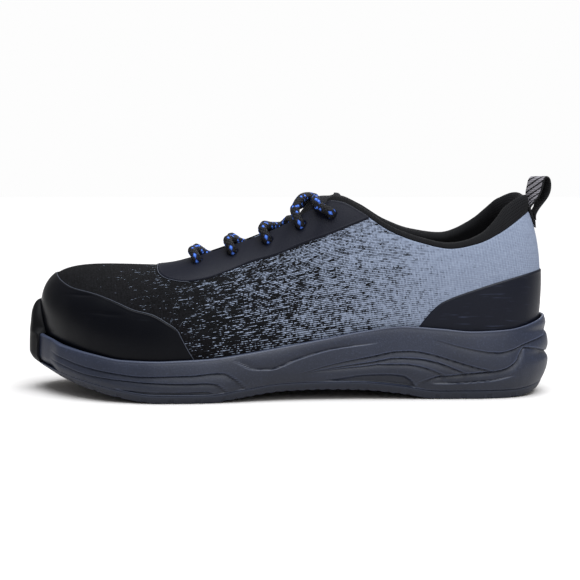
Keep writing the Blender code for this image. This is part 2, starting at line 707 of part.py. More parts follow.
def build_outsole(collection, finish):
    """The rubber tread: a plate with chevron lugs below, joined to the bumper round the toe."""
    stops = [(e, 0.0) for e in (0.0005, 0.0020, 0.0050)] + lug_stations()
    stops += [(LENGTH - e, 0.0) for e in (0.0105, 0.0075, 0.0050, 0.0030, 0.0013, 0.0004)]
    channel, rib = 0.032, 0.014
    across = [-1.0, -0.94]
    for middle in (-0.42, 0.42):
        across += [middle - channel - rib, middle - channel, middle + channel, middle + channel + rib]
        across += [0.0] if middle < 0 else []
    across += [0.94, 1.0]
    cut = [0.0, 0.0] + [0.0, 1.0, 1.0, 0.0] + [0.0] + [0.0, 1.0, 1.0, 0.0] + [0.0, 0.0]
    ring = np.arange(COLUMNS // 2 + 1) * 2 / COLUMNS
    left_foot, right_foot = midsole_foot(-ring), midsole_foot(ring)
    skin = Skin()
    bottoms, tops = [], []
    for s, groove in stops:
        body = 1.0 if 0.03 * LENGTH < s < 0.95 * LENGTH else 0.0
        shares = np.array(across)
        bend = CHEVRON * (1 - np.abs(shares)) * body
        at = np.clip(s - bend * 0.5, 0.0003, LENGTH - 0.0003)
        column = np.arccos(np.clip(1 - 2 * at / LENGTH, -1, 1)) / np.pi
        edge = shares < 0
        signed = np.where(edge, -column, column)
        low, high, _ = levels(signed)
        inset = wall_inset(signed, 0.0)
        inset_top = wall_inset(signed, np.full_like(low, 1.0) * OUTSOLE_THICKNESS / (high - low))
        left, right = outline(-column, inset)[0], outline(column, inset)[0]
        share = (shares + 1) / 2
        plan = left * (1 - share[:, None]) + right * share[:, None]
        channelled = np.array(cut) * body
        depth = np.maximum(channelled, groove) * LUG_DEPTH
        chamfer = np.where(np.abs(shares) > 0.99, 0.0008, 0.0) * body
        bottoms.append(skin.row(place(plan[:, 0], plan[:, 1], low + np.maximum(depth, chamfer))))
        top = []
        for side, foot in ((0, left_foot), (-1, right_foot)):
            end = column[[side]] * (-1 if side == 0 else 1)
            spot = outline(end, inset_top[[side]])[0][0]
            height = np.interp(spot[0], HEEL_REST - foot[:, 0], foot[:, 2]) - SOLE_GAP
            top.append((HEEL_REST - spot[0], spot[1], height))
        tops.append(skin.row(top))
    for a, b in zip(bottoms[:-1], bottoms[1:]):
        skin.band(a, b, False)
    for a, b in zip(tops[:-1], tops[1:]):
        skin.band(a, b, False)
    for end in (0, -1):
        skin.band([r[end] for r in bottoms], [r[end] for r in tops], False)
    for row, top in ((bottoms[0], tops[0]), (bottoms[-1], tops[-1])):
        skin.faces.append(tuple(row + [top[1], top[0]]))
    plate = skin.build("outsole", collection, finish)
    join(plate, build_bumper(collection, finish))
    return plate


def film_inset(c, level):
    """How far inside the greatest outline the toe cap's face stands at each column and height."""
    v = np.linspace(0.0, 0.6, 61)
    face = upper_skin(c[:, None], v[None, :], FILM_GAP + FILM + GAP)
    plan, outwards = outline(c)
    away = plan[:, None, :] - np.stack([HEEL_REST - face[..., 0], face[..., 1]], axis=-1)
    inset = (away * outwards[:, None, :]).sum(axis=-1)
    return np.array([np.interp(z, row, depth) for z, row, depth in zip(level, face[..., 2], inset)])


def build_bumper(collection, finish):
    """The part of the outsole that wraps up over the toe."""
    c = columns_between(0.83, 1.17)
    low, high, _ = levels(c)
    share = bumper_share(c)
    keep = share > 0.02
    c, low, high, share = c[keep], low[keep], high[keep], share[keep]
    outer, inner = [], []
    for low_share, above_share, draw in BUMPER_ROWS:
        side = low_share * (0.60 + 0.40 * ease(share))
        level = low + (high - low) * side + (BUMPER_HEIGHT - high) * above_share * ease(share)
        h = np.clip((level - low) / (high - low), 0.0, 0.92)
        above = np.clip((level - high) / (BUMPER_HEIGHT - high), 0.0, 1.0)
        face = wall_inset(c, h) + BUMPER_LEAN * above - BUMPER_PROUD
        back = face + BUMPER_THICKNESS
        over_lip = ease((level - high - SOLE_GAP) / BUMPER_THICKNESS)
        back = back + (film_inset(c, level) - back) * over_lip
        face = face + BUMPER_THICKNESS * draw * over_lip
        for rows, inset in ((outer, face), (inner, back)):
            plan, _ = outline(c, inset)
            rows.append(place(plan[:, 0], plan[:, 1], level))
    return shell(outer, inner, False).build("bumper", collection, finish)


def join(kept, added):
    """Joins one body to another and removes the second."""
    union = kept.modifiers.new("union", "BOOLEAN")
    union.operation = "UNION"
    union.solver = "EXACT"
    union.object = added
    apply_modifiers(kept)
    bpy.data.objects.remove(added)


def apply_modifiers(thing):
    """Puts the evaluated mesh in place of the modifiers."""
    bpy.context.view_layer.update()
    graph = bpy.context.evaluated_depsgraph_get()
    mesh = bpy.data.meshes.new_from_object(thing.evaluated_get(graph))
    thing.modifiers.clear()
    thing.data = mesh


def build_insole(collection, finish):
    """The footbed board and foam inside the upper."""
    c = ring_columns()
    _, _, footbed = levels(c)
    inset = foot_inset(c) + UPPER_WALL + 2 * GAP
    plan, _ = outline(c, inset)
    skin = Skin()
    low = skin.row(place(plan[:, 0], plan[:, 1], footbed + GAP))
    high = skin.row(place(plan[:, 0], plan[:, 1], footbed + GAP + INSOLE_THICKNESS))
    skin.band(low, high, True)
    skin.across(low, 2)
    skin.across(high, 2)
    return skin.build("insole", collection, finish)


def build_upper(collection, finish):
    """The knitted upper: one hollow shell, open at the collar and throat and underneath."""
    c = ring_columns()
    outer = [upper_skin(c, v) for v in UPPER_ROWS]
    inner = [upper_skin(c, v, -UPPER_WALL) for v in UPPER_ROWS]
    return shell(outer, inner, True).build("upper", collection, finish)


def overlay(name, c, low, high, collection, finish):
    """A film on the upper, between two rows in each column, on the upper's own facets."""
    rows = [np.clip(np.full_like(c, v), low, high) for v in UPPER_ROWS]
    outer = [facet_skin(c, v, FILM_GAP + FILM) for v in rows]
    inner = [facet_skin(c, v, FILM_GAP) for v in rows]
    return shell(outer, inner, False).build(name, collection, finish)


def facet_skin(c, v, lift):
    """Points on the upper's flat triangles, moved outwards by lift."""
    grid, step = np.array(UPPER_ROWS), 2 / COLUMNS
    i = np.clip(np.searchsorted(grid, v, side="right") - 1, 0, len(grid) - 2)
    t = ((v - grid[i]) / (grid[i + 1] - grid[i]))[..., None]
    left = np.floor(c / step + 1e-6) * step
    x = np.clip((c - left) / step, 0.0, 1.0)[..., None]
    low_left = upper_skin(left, grid[i], lift)
    high_left = upper_skin(left, grid[i + 1], lift)
    low_right = upper_skin(left + step, grid[i], lift)
    high_right = upper_skin(left + step, grid[i + 1], lift)
    under = low_left + x * (low_right - low_left) + t * (high_right - low_right)
    over = low_left + t * (high_left - low_left) + x * (high_right - high_left)
    return np.where(t <= x, under, over)


def columns_between(first, last):
    """The ring's columns from first to last, which may pass the toe at 1."""
    step = 2 / COLUMNS
    return np.arange(math.ceil(first / step - 1e-6), math.floor(last / step + 1e-6) + 1) * step


def film_columns(first, last, inside):
    """Columns of a film that tapers out, with one more at each of its tips."""
    fine = np.linspace(first, last, 1201)
    kept = fine[inside(wrapped(fine))]
    first, last = kept[0], kept[-1]
    c = columns_between(first, last)
    c = c[(c > first + 0.004) & (c < last - 0.004)]
    return np.concatenate([[first], c, [last]])


def build_toe_cap(collection, finish):
    """The abrasion film over the toe."""

    def inside(at):
        return row_below(at, TOE_CAP_EDGE, TOE_HEIGHT) > 2 * FILM_FOOT

    c = film_columns(0.58, 1.42, inside)
    top = row_below(wrapped(c), TOE_CAP_EDGE, TOE_HEIGHT)
    return overlay("toe_cap", c, FILM_FOOT, top, collection, finish)


def build_counter(collection, finish):
    """The film round the heel."""

    def inside(at):
        return row_below(at, COUNTER_EDGE, HEEL_HEIGHT) > 2 * FILM_FOOT

    c = film_columns(-0.42, 0.42, inside)
    top = row_below(wrapped(c), COUNTER_EDGE, HEEL_HEIGHT)
    return overlay("heel_counter", c, FILM_FOOT, top, collection, finish)


def build_eyestay(collection, finish):
    """The film round the throat, which carries the eyelets."""

    def inside(at):
        return row_below(at, EYESTAY_EDGE, INSTEP_HEIGHT) < 0.985

    c = film_columns(0.36, 1.64, inside)
    low = row_below(wrapped(c), EYESTAY_EDGE, INSTEP_HEIGHT)
    front = row_at_depth(wrapped(c), np.full_like(c, EYESTAY_FRONT))
    low = np.where(np.abs(wrapped(c)) > 0.8, np.minimum(low, front), low)
    return overlay("eyestay", c, low, 1.0, collection, finish)


def eyelet(column, side):
    """Middle and outward normal of an eyelet on the upper."""
    c = np.array([side * column])
    v = row_at_depth(c, [EYELET_SET_BACK])
    return Vector(upper_point(c, v)[0]), Vector(upper_normal(c, v)[0])


def punch_eyelets(things, cutters):
    """Cuts the eyelets through the upper and the eyestay."""
    for side in (-1, 1):
        for number, column in enumerate(EYELETS):
            middle, normal = eyelet(column, side)
            bpy.ops.mesh.primitive_cylinder_add(vertices=8, radius=EYELET_DIAMETER / 2, depth=0.012)
            cutter = bpy.context.object
            cutter.name = f"eyelet_cutter_{number}_{'lm'[side > 0]}"
            turn = normal.to_track_quat("Z", "Y").to_matrix().to_4x4()
            cutter.matrix_world = Matrix.Translation(middle) @ turn
            cutter.hide_render = True
            cutter.display_type = "WIRE"
            for old in list(cutter.users_collection):
                old.objects.unlink(cutter)
            cutters.objects.link(cutter)
            for thing in things:
                cut = thing.modifiers.new("eyelet", "BOOLEAN")
                cut.operation = "DIFFERENCE"
                cut.solver = "EXACT"
                cut.object = cutter


def build_collar_lining(collection, finish):
    """The padded lining of the collar, which rolls over the upper's top edge."""
    c = columns_between(-0.478, 0.478)
    at = np.abs(c)
    roll = closed_through(PAD_ROLL, c)[..., 0] * PAD_RISE
    front = ease((0.50 - at) / 0.16)
    thick = PAD_THICKNESS * (0.40 + 0.60 * front)
    depth = PAD_DEPTH * (0.45 + 0.55 * front)
    normal = upper_normal(c, 1.0)
    top = upper_point(c, 1.0)
    up = top - upper_point(c, 0.985)
    up /= np.linalg.norm(up, axis=-1, keepdims=True)
    inside = UPPER_WALL + SOLE_GAP
    rows = []
    for share, body in ((1.0, 0.25), (0.62, 0.7), (0.28, 1.0)):
        v = row_at_depth(c, depth * share)
        rows.append(facet_skin(c, v, -inside - thick * body))
    width = inside + thick
    for angle in (0, 50, 90, 130, 180):
        turn = math.radians(angle)
        out = -width / 2 - (width / 2 - 0.0002) * math.cos(turn)
        rows.append(top + normal * out[:, None] + up * (GAP + roll * math.sin(turn))[:, None])
    rows.append(top - normal * (inside - 0.0001) + up * (GAP + 0.0004))
    for share in (0.28, 0.62, 1.0):
        v = row_at_depth(c, depth * share)
        rows.append(facet_skin(c, v, -inside))
    skin = Skin()
    numbers = [skin.row(r) for r in rows]
    for a, b in zip(numbers, numbers[1:] + numbers[:1]):
        skin.band(a, b, False)
    for end in (0, -1):
        skin.faces.append(tuple(row[end] for row in numbers))
    return skin.build("collar_lining", collection, finish)


def tongue_surface(c, share):
    """The tongue's outer face at a column: under both eyestays and arched across the throat."""
    free = 1 - ease((c - 0.474) / 0.028)
    inside = UPPER_WALL + 2 * GAP + (0.8 * PAD_THICKNESS + GAP) * free
    wing = row_at_depth(np.array([c]), [0.0015 + TONGUE_WING * (1 - free)])[0]
    left = upper_skin(np.full(1, -c), np.array([1.0]), -inside)[0]
    right = upper_skin(np.full(1, c), np.array([1.0]), -inside)[0]
    points = []
    for t in share:
        if abs(t) > 0.5:
            v = 1.0 - (1.0 - wing) * (abs(t) - 0.5) / 0.5
            side = -1.0 if t < 0 else 1.0
            points.append(upper_skin(np.array([side * c]), np.array([v]), -inside)[0])
        else:
            middle = left * (0.5 - t) + right * (0.5 + t)
            gap = np.linalg.norm(right - left) / 2
            middle[2] += (TONGUE_CROWN * gap + TONGUE_LIFT * free) * (1 - 4 * t * t)
            points.append(middle)
    return np.array(points)


def build_tongue(collection, finish):
    """The tongue, from under the vamp to the top of the throat."""
    shares = (-1.0, -0.75, -0.5, -0.25, 0.0, 0.25, 0.5, 0.75, 1.0)
    columns = np.linspace(TONGUE_TOP, TONGUE_FRONT, 12)
    outer = np.array([tongue_surface(c, shares) for c in columns])
    down = []
    for k in range(len(columns)):
        before, after = outer[max(k - 1, 0)], outer[min(k + 1, len(columns) - 1)]
        along = after[4] - before[4]
        across = outer[k][-1] - outer[k][0]
        normal = np.cross(along, across)
        normal /= np.linalg.norm(normal)
        down.append(normal if normal[2] < 0 else -normal)
    inner = outer + np.array(down)[:, None, :] * TONGUE_THICKNESS
    return shell(list(outer), list(inner), False).build("tongue", collection, finish)


def crown_point(column, t):
    """A point on the tongue between the throat's edges, t from -0.5 to 0.5."""
    return tongue_surface(column, [t])[0]


def edge_column(s):
    """The column where the throat's edge stands at distance s."""
    rows = np.array(OPENING)
    rows = rows[rows[:, 0] > 0.4]
    return np.interp(s / LENGTH, rows[:, 1], rows[:, 0])


def lace_route(number, side):
    """Points of the strand that leaves eyelet number on one side and crosses to the next row."""
    lift = LACE_DIAMETER / 2 + GAP
    over = FILM + FILM_GAP + lift
    here, there = EYELETS[number], EYELETS[number + 1]
    middle, normal = eyelet(here, side)
    start, end = HEEL_REST - middle[0], HEEL_REST - eyelet(there, side)[0][0]
    last = number == len(EYELETS) - 2

    def rim(s, way):
        return upper_skin(np.array([way * edge_column(s)]), np.array([1.0]), over + 0.0004)[0]

    top = crown_point(edge_column(start + (0.38 if last else 0.35) * (end - start)), 0.0)
    top[2] += lift + 2 * GAP + (LACE_DIAMETER * 0.15 if side < 0 else 0.0)
    top[2] += LACE_ARCH if last else 0.0
    route = [np.array(middle + normal * over), rim(start + LACE_LEAN, side), top]
    if last:
        far, far_normal = eyelet(there, -side)
        turn = end + 0.42 * (start - end)
        between = np.array([-side * edge_column((turn + end) / 2)])
        row = row_at_depth(between, [EYELET_SET_BACK / 2])
        route += [rim(turn, -side), upper_skin(between, row, over)[0]]
        route.append(np.array(far + far_normal * over))
    else:
        stop = crown_point(edge_column(start + 0.62 * (end - start)), -side * 0.20)
        route.append(stop + np.array([0, 0, lift + 2 * GAP]))
    return np.array(route)


def smooth_route(route, steps):
    """A smooth curve through a route's points (Catmull-Rom)."""
    points = np.vstack([2 * route[0] - route[1], route, 2 * route[-1] - route[-2]])
    found = []
    for a, b, c, d in zip(points[:-3], points[1:-2], points[2:-1], points[3:]):
        for t in np.linspace(0, 1, steps, endpoint=False):
            square = (2 * a - 5 * b + 4 * c - d) * t**2
            found.append(0.5 * (2 * b + (c - a) * t + square + (3 * b - 3 * c + d - a) * t**3))
    return np.array(found + [route[-1]])


def tube(name, route, radius, collection, finish):
    """A round cord along a route, as a mesh with welded caps."""
    curve = bpy.data.curves.new(name, "CURVE")
    curve.dimensions = "3D"
    curve.bevel_depth = radius
    curve.bevel_resolution = 1
    curve.use_fill_caps = True
    line = curve.splines.new("POLY")
    line.points.add(len(route) - 1)
    for point, place_ in zip(line.points, route):
        point.co = (*place_, 1.0)
    guide = bpy.data.objects.new(name + "_guide", curve)
    collection.objects.link(guide)
    bpy.context.view_layer.update()
    graph = bpy.context.evaluated_depsgraph_get()
    mesh = bpy.data.meshes.new_from_object(guide.evaluated_get(graph))
    work = bmesh.new()
    work.from_mesh(mesh)
    bmesh.ops.remove_doubles(work, verts=work.verts, dist=1e-5)
    bmesh.ops.recalc_face_normals(work, faces=work.faces)
    work.to_mesh(mesh)
    work.free()
    mesh.materials.clear()
    mesh.materials.append(finish)
    thing = bpy.data.objects.new(name, mesh)
    thing.matrix_world = guide.matrix_world
    collection.objects.link(thing)
    bpy.data.objects.remove(guide)
    return thing


def build_laces(collection, finish):
    """The crossings of the lace over the tongue, one joined body for each row."""
    for number in range(len(EYELETS) - 1):
        strands = []
        for side in (-1, 1):
            route = smooth_route(lace_route(number, side), 3)
            name = f"lace_crossing_{number + 1}"
            strands.append(tube(name, route, LACE_DIAMETER / 2, collection, finish))
        join(strands[0], strands[1])
        strands[0].name = name


def build_pull_loop(collection, finish):
    """The webbing loop, both ends sewn to the back of the heel."""
    origin = upper_point(np.zeros(1), 1.0)[0]
    sewn = row_at_depth(np.zeros(1), [LOOP_SEWN])[0]
    step = GAP + LOOP_THICKNESS / 2
    under = [upper_skin(np.zeros(1), v, step)[0] for v in np.linspace(sewn, 1.0, 3)]
    over = [upper_skin(np.zeros(1), v, step + LOOP_THICKNESS + GAP)[0] for v in (sewn + 0.03, sewn)]
    free = [origin + np.array([back * LOOP_REACH, 0.0, up * LOOP_RISE]) for back, up in LOOP_PATH]
    route = smooth_route(np.array(under + free + over), 2)
    along = np.gradient(route, axis=0)
    along /= np.linalg.norm(along, axis=-1, keepdims=True)
    twist = np.radians(LOOP_TWIST) * ease((route[:, 2] - origin[2]) / 0.012)
    width = np.stack([-np.sin(twist), np.cos(twist), np.zeros_like(twist)], axis=-1)
    face = np.cross(along, width)
    face /= np.linalg.norm(face, axis=-1, keepdims=True)
    skin = Skin()
    corners = []
    for across, out in ((-1, -1), (1, -1), (1, 1), (-1, 1)):
        corners.append(route + width * (across * LOOP_WIDTH / 2) + face * (out * LOOP_THICKNESS / 2))
    rows = [skin.row([corner[k] for corner in corners]) for k in range(len(route))]
    for a, b in zip(rows[:-1], rows[1:]):
        skin.band(a, b, True)
    for row in (rows[0], rows[-1]):
        skin.faces.append(tuple(row))
    return skin.build("pull_loop", collection, finish)


def main():
    """Clears the scene and builds the shoe."""
    for thing in list(bpy.data.objects):
        bpy.data.objects.remove(thing)
    parts = bpy.data.collections.new("safety_sneaker")
    cutters = bpy.data.collections.new("cutters")
    for made in (parts, cutters):
        bpy.context.scene.collection.children.link(made)
    rubber = material("rubber", (0.018, 0.019, 0.023), 0.62)
    foam = material("moulded_foam", (0.028, 0.030, 0.038), 0.55)
    knit = material("knit", (0.16, 0.18, 0.21), 0.9)
    film = material("film", (0.016, 0.017, 0.020), 0.42)
    padding = material("lining_mesh", (0.010, 0.010, 0.011), 0.95)
    cord = material("lace_cord", (0.012, 0.013, 0.018), 0.8)
    webbing = material("webbing", (0.05, 0.05, 0.052), 0.8)
    build_outsole(parts, rubber)
    build_midsole(parts, foam)
    build_insole(parts, padding)
    upper = build_upper(parts, knit)
    build_toe_cap(parts, film)
    build_counter(parts, film)
    eyestay = build_eyestay(parts, film)
    punch_eyelets([upper, eyestay], cutters)
    build_collar_lining(parts, padding)
    build_tongue(parts, knit)
    build_laces(parts, cord)
    build_pull_loop(parts, webbing)


main()
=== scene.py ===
# %% [markdown]
# # Dressing a safety sneaker
# The shoe's solids come in as a fixed frame: sole, knitted upper, films, collar, tongue, laces and
# pull loop, all at their real size. This file gives each of them the surface that the eye meets.
# The toe points along -X, the outer side of the foot faces -Y, and the floor is at z = 0.

import math

import bmesh
import bpy
import numpy as np
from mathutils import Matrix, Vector


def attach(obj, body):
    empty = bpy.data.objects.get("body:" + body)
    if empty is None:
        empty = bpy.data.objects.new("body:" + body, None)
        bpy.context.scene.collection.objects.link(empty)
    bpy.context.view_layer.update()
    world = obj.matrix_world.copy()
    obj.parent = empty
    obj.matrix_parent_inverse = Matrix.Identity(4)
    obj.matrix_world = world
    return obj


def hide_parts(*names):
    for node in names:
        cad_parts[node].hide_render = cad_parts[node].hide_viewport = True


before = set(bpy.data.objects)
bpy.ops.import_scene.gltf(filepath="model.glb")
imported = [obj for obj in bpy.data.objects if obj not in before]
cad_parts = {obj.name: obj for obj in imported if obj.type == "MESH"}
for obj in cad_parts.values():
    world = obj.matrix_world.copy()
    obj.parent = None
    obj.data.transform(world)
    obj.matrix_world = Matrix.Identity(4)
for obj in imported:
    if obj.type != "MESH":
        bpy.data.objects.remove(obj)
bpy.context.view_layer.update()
MM = 0.001
print("the frame holds", len(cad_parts), "solids")

# %% [markdown]
# ## Camera
# The photograph looks at the outer side of the shoe, a little from above. A long lens keeps the
# perspective as weak as it is there. The camera comes first, so that every later piece can be
# judged through it.

# %% Camera
CAMERA_PLACE = (-0.1036, -0.700, 0.115)
CAMERA_DOWN = math.radians(4.68)
CAMERA_LENS = 75.29

eye = bpy.data.cameras.new("eye")
eye.lens = CAMERA_LENS
eye.sensor_width = 36.0
eye.clip_start, eye.clip_end = 0.01, 20.0
camera = bpy.data.objects.new("eye", eye)
camera.location = CAMERA_PLACE
camera.rotation_euler = (math.pi / 2 - CAMERA_DOWN, 0.0, 0.0)
bpy.context.scene.collection.objects.link(camera)
bpy.context.scene.camera = camera
print("camera", CAMERA_PLACE)

# %% [markdown]
# ## The last in numbers
# Sole and upper are worked out from the same few sizes and the same short tables as the solids, so
# a fine surface lies exactly where the coarse solid is. Each closed outline runs round the shoe by
# one number, the column c: 0 at the middle of the heel, -1 and +1 at the tip of the toe, negative
# on the outer side. A station is a share of the shoe's length from the back of the heel.

# %% Sizes
LENGTH, BALL_WIDTH, HEEL_REST = 0.302, 0.110, 0.046
INSTEP_HEIGHT, HEEL_HEIGHT, ANKLE_HEIGHT, TOE_HEIGHT = 0.1098, 0.104, 0.0831, 0.0724
HEEL_WALL, FORE_WALL = 0.0404, 0.0228
HEEL_FOOTBED, FORE_FOOTBED = 0.024, 0.0132
TOE_SPRING, ARCH_RISE, HEEL_BEVEL = 0.0135, 0.0055, 0.004
HEEL_TUCK, SIDE_TUCK, TOE_TUCK = 0.0062, 0.003, 0.0100
LIP_TUCK, TOE_LIP_TUCK = 0.0032, 0.0005
OUTSOLE_THICKNESS, LUG_DEPTH, LUG_PITCH, LUG_GROOVE = 0.0045, 0.0026, 0.0146, 0.0030
CHEVRON = 0.007
BUMPER_THICKNESS, BUMPER_PROUD = 0.0024, 0.0004
BUMPER_HEIGHT, BUMPER_WIDTH, BUMPER_LEAN = 0.0520, 0.054, 0.0020
UPPER_WALL, UPPER_INSET, TOE_INSET, HEEL_INSET = 0.0024, 0.0078, 0.0092, 0.0095
FILM, FILM_GAP, EYESTAY_FRONT = 0.0010, 0.0005, 0.0072
PAD_THICKNESS, PAD_DEPTH, PAD_RISE = 0.0062, 0.034, 0.0125
TONGUE_THICKNESS, TONGUE_WING, TONGUE_CROWN, TONGUE_LIFT = 0.0035, 0.0125, -0.17, 0.0105
TONGUE_TOP, TONGUE_FRONT, LIFT_START, LIFT_RUN = 0.446, 0.955, 0.575, 0.07
INSOLE_THICKNESS = 0.004
LACE_DIAMETER, LACE_ARCH, LACE_LEAN = 0.0050, -0.0018, 0.0010
BRAID_PITCH, BRAID_TURNS = 0.0021, 7
LOOP_WIDTH, LOOP_THICKNESS, LOOP_REACH, LOOP_RISE = 0.014, 0.0013, 0.0114, 0.0195
LOOP_TWIST, LOOP_SEWN = 29.0, 0.0110
GAP, SOLE_GAP, FILM_FOOT = 0.0003, 0.0005, 0.03
EYELETS = (0.722, 0.645, 0.573, 0.514, 0.462)
SET_BACK = (0.0120, 0.0106, 0.0100, 0.0098, 0.0094)

# %% Tables of the last
# station, half width and sideways shift as shares of the ball width
PLAN = [
    (0.000, 0.000, 0.000),
    (0.020, 0.181, 0.000),
    (0.050, 0.265, 0.000),
    (0.100, 0.323, 0.000),
    (0.160, 0.347, 0.000),
    (0.250, 0.350, -0.005),
    (0.350, 0.341, -0.018),
    (0.450, 0.355, -0.023),
    (0.530, 0.395, -0.018),
    (0.610, 0.455, -0.009),
    (0.680, 0.491, 0.000),
    (0.735, 0.500, 0.005),
    (0.800, 0.484, 0.023),
    (0.870, 0.427, 0.050),
    (0.920, 0.350, 0.073),
    (0.960, 0.253, 0.086),
    (0.983, 0.166, 0.091),
    (1.000, 0.000, 0.095),
]
# station, underside, top of the side wall, footbed
SOLE_LEVELS = [
    (0.00, 1.00 * HEEL_BEVEL, 1.100 * HEEL_WALL, 1.00 * HEEL_FOOTBED),
    (0.03, 0.50 * HEEL_BEVEL, 1.035 * HEEL_WALL, 1.00 * HEEL_FOOTBED),
    (0.09, 0.00, 0.945 * HEEL_WALL, 1.00 * HEEL_FOOTBED),
    (0.16, 0.00, 0.926 * HEEL_WALL, 1.00 * HEEL_FOOTBED),
    (0.22, 0.00, 0.965 * HEEL_WALL, 1.00 * HEEL_FOOTBED),
    (0.29, 0.53 * ARCH_RISE, 1.000 * HEEL_WALL, 0.98 * HEEL_FOOTBED),
    (0.36, 0.92 * ARCH_RISE, 0.940 * HEEL_WALL, 0.94 * HEEL_FOOTBED),
    (0.43, 1.02 * ARCH_RISE, 0.840 * HEEL_WALL, 0.86 * HEEL_FOOTBED),
    (0.50, 0.95 * ARCH_RISE, 0.745 * HEEL_WALL, 0.76 * HEEL_FOOTBED),
    (0.59, 0.35 * ARCH_RISE, 1.130 * FORE_WALL, 1.15 * FORE_FOOTBED),
    (0.635, 0.00, 1.060 * FORE_WALL, 1.03 * FORE_FOOTBED),
    (0.70, 0.00, 1.020 * FORE_WALL, 1.00 * FORE_FOOTBED),
    (0.735, 0.00, 1.005 * FORE_WALL, 1.00 * FORE_FOOTBED),
    (0.80, 0.17 * TOE_SPRING, 1.020 * FORE_WALL, 1.08 * FORE_FOOTBED),
    (0.86, 0.41 * TOE_SPRING, 1.130 * FORE_WALL, 1.28 * FORE_FOOTBED),
    (0.92, 0.68 * TOE_SPRING, 1.275 * FORE_WALL, 1.58 * FORE_FOOTBED),
    (0.96, 0.87 * TOE_SPRING, 1.410 * FORE_WALL, 1.82 * FORE_FOOTBED),
    (1.00, 1.00 * TOE_SPRING, 1.520 * FORE_WALL, 1.97 * FORE_FOOTBED),
]
# height in the side wall, share of the bottom's tuck, share of the lip's tuck
WALL_PROFILE = [
    (0.00, 1.00, 0.00),
    (0.08, 0.72, 0.00),
    (0.18, 0.38, 0.00),
    (0.30, 0.12, 0.00),
    (0.44, 0.00, 0.03),
    (0.60, 0.00, 0.15),
    (0.80, 0.00, 0.42),
    (0.92, 0.00, 0.68),
    (1.00, 0.00, 1.00),
]
# column, station, half width by ball width, height on the outer and on the inner side
OPENING = [
    (0.000, 0.0417, 0.000, 1.000 * HEEL_HEIGHT, 1.000 * HEEL_HEIGHT),
    (0.050, 0.0464, 0.070, 0.993 * HEEL_HEIGHT, 1.000 * HEEL_HEIGHT),
    (0.100, 0.0596, 0.128, 0.970 * HEEL_HEIGHT, 0.995 * HEEL_HEIGHT),
    (0.150, 0.0811, 0.175, 0.928 * HEEL_HEIGHT, 0.970 * HEEL_HEIGHT),
    (0.200, 0.1100, 0.211, 0.876 * HEEL_HEIGHT, 0.937 * HEEL_HEIGHT),
    (0.250, 0.1500, 0.238, 1.032 * ANKLE_HEIGHT, 1.108 * ANKLE_HEIGHT),
    (0.300, 0.2000, 0.252, 1.000 * ANKLE_HEIGHT, 1.052 * ANKLE_HEIGHT),
    (0.350, 0.2600, 0.256, 1.045 * ANKLE_HEIGHT, 1.082 * ANKLE_HEIGHT),
    (0.390, 0.3130, 0.242, 0.848 * INSTEP_HEIGHT, 0.872 * INSTEP_HEIGHT),
    (0.420, 0.3620, 0.215, 0.938 * INSTEP_HEIGHT, 0.954 * INSTEP_HEIGHT),
    (0.445, 0.3980, 0.188, 0.991 * INSTEP_HEIGHT, 0.998 * INSTEP_HEIGHT),
    (0.465, 0.4170, 0.171, 1.000 * INSTEP_HEIGHT, 1.004 * INSTEP_HEIGHT),
    (0.485, 0.4340, 0.162, 0.980 * INSTEP_HEIGHT, 0.983 * INSTEP_HEIGHT),
    (0.520, 0.4680, 0.152, 0.932 * INSTEP_HEIGHT, 0.934 * INSTEP_HEIGHT),
    (0.550, 0.4980, 0.145, 0.883 * INSTEP_HEIGHT, 0.885 * INSTEP_HEIGHT),
    (0.600, 0.5430, 0.136, 0.828 * INSTEP_HEIGHT, 0.830 * INSTEP_HEIGHT),
    (0.650, 0.5830, 0.128, 0.785 * INSTEP_HEIGHT, 0.786 * INSTEP_HEIGHT),
    (0.700, 0.6210, 0.117, 0.750 * INSTEP_HEIGHT, 0.751 * INSTEP_HEIGHT),
    (0.750, 0.6560, 0.102, 1.087 * TOE_HEIGHT, 1.087 * TOE_HEIGHT),
    (0.800, 0.6820, 0.085, 1.051 * TOE_HEIGHT, 1.051 * TOE_HEIGHT),
    (0.850, 0.7020, 0.064, 1.027 * TOE_HEIGHT, 1.027 * TOE_HEIGHT),
    (0.900, 0.7152, 0.042, 1.012 * TOE_HEIGHT, 1.012 * TOE_HEIGHT),
    (0.950, 0.7232, 0.021, 1.003 * TOE_HEIGHT, 1.003 * TOE_HEIGHT),
    (1.000, 0.7258, 0.000, 1.000 * TOE_HEIGHT, 1.000 * TOE_HEIGHT),
]
# column, lean outwards in degrees, lower pull, slope at the opening in degrees, upper pull
UPPER_CURVE = [
    (0.00, 10.5, 0.330, 66.0, 0.300),
    (0.20, 12.0, 0.330, 69.0, 0.300),
    (0.30, 10.0, 0.330, 72.0, 0.300),
    (0.40, 8.0, 0.350, 66.0, 0.320),
    (0.47, 7.0, 0.380, 56.0, 0.360),
    (0.55, 7.0, 0.420, 47.0, 0.420),
    (0.65, 8.0, 0.460, 37.0, 0.460),
    (0.75, 10.0, 0.520, 25.0, 0.530),
    (0.85, 11.5, 0.575, 12.0, 0.590),
    (0.95, 11.3, 0.612, 2.0, 0.650),
    (1.00, 11.0, 0.620, -0.5, 0.660),
]


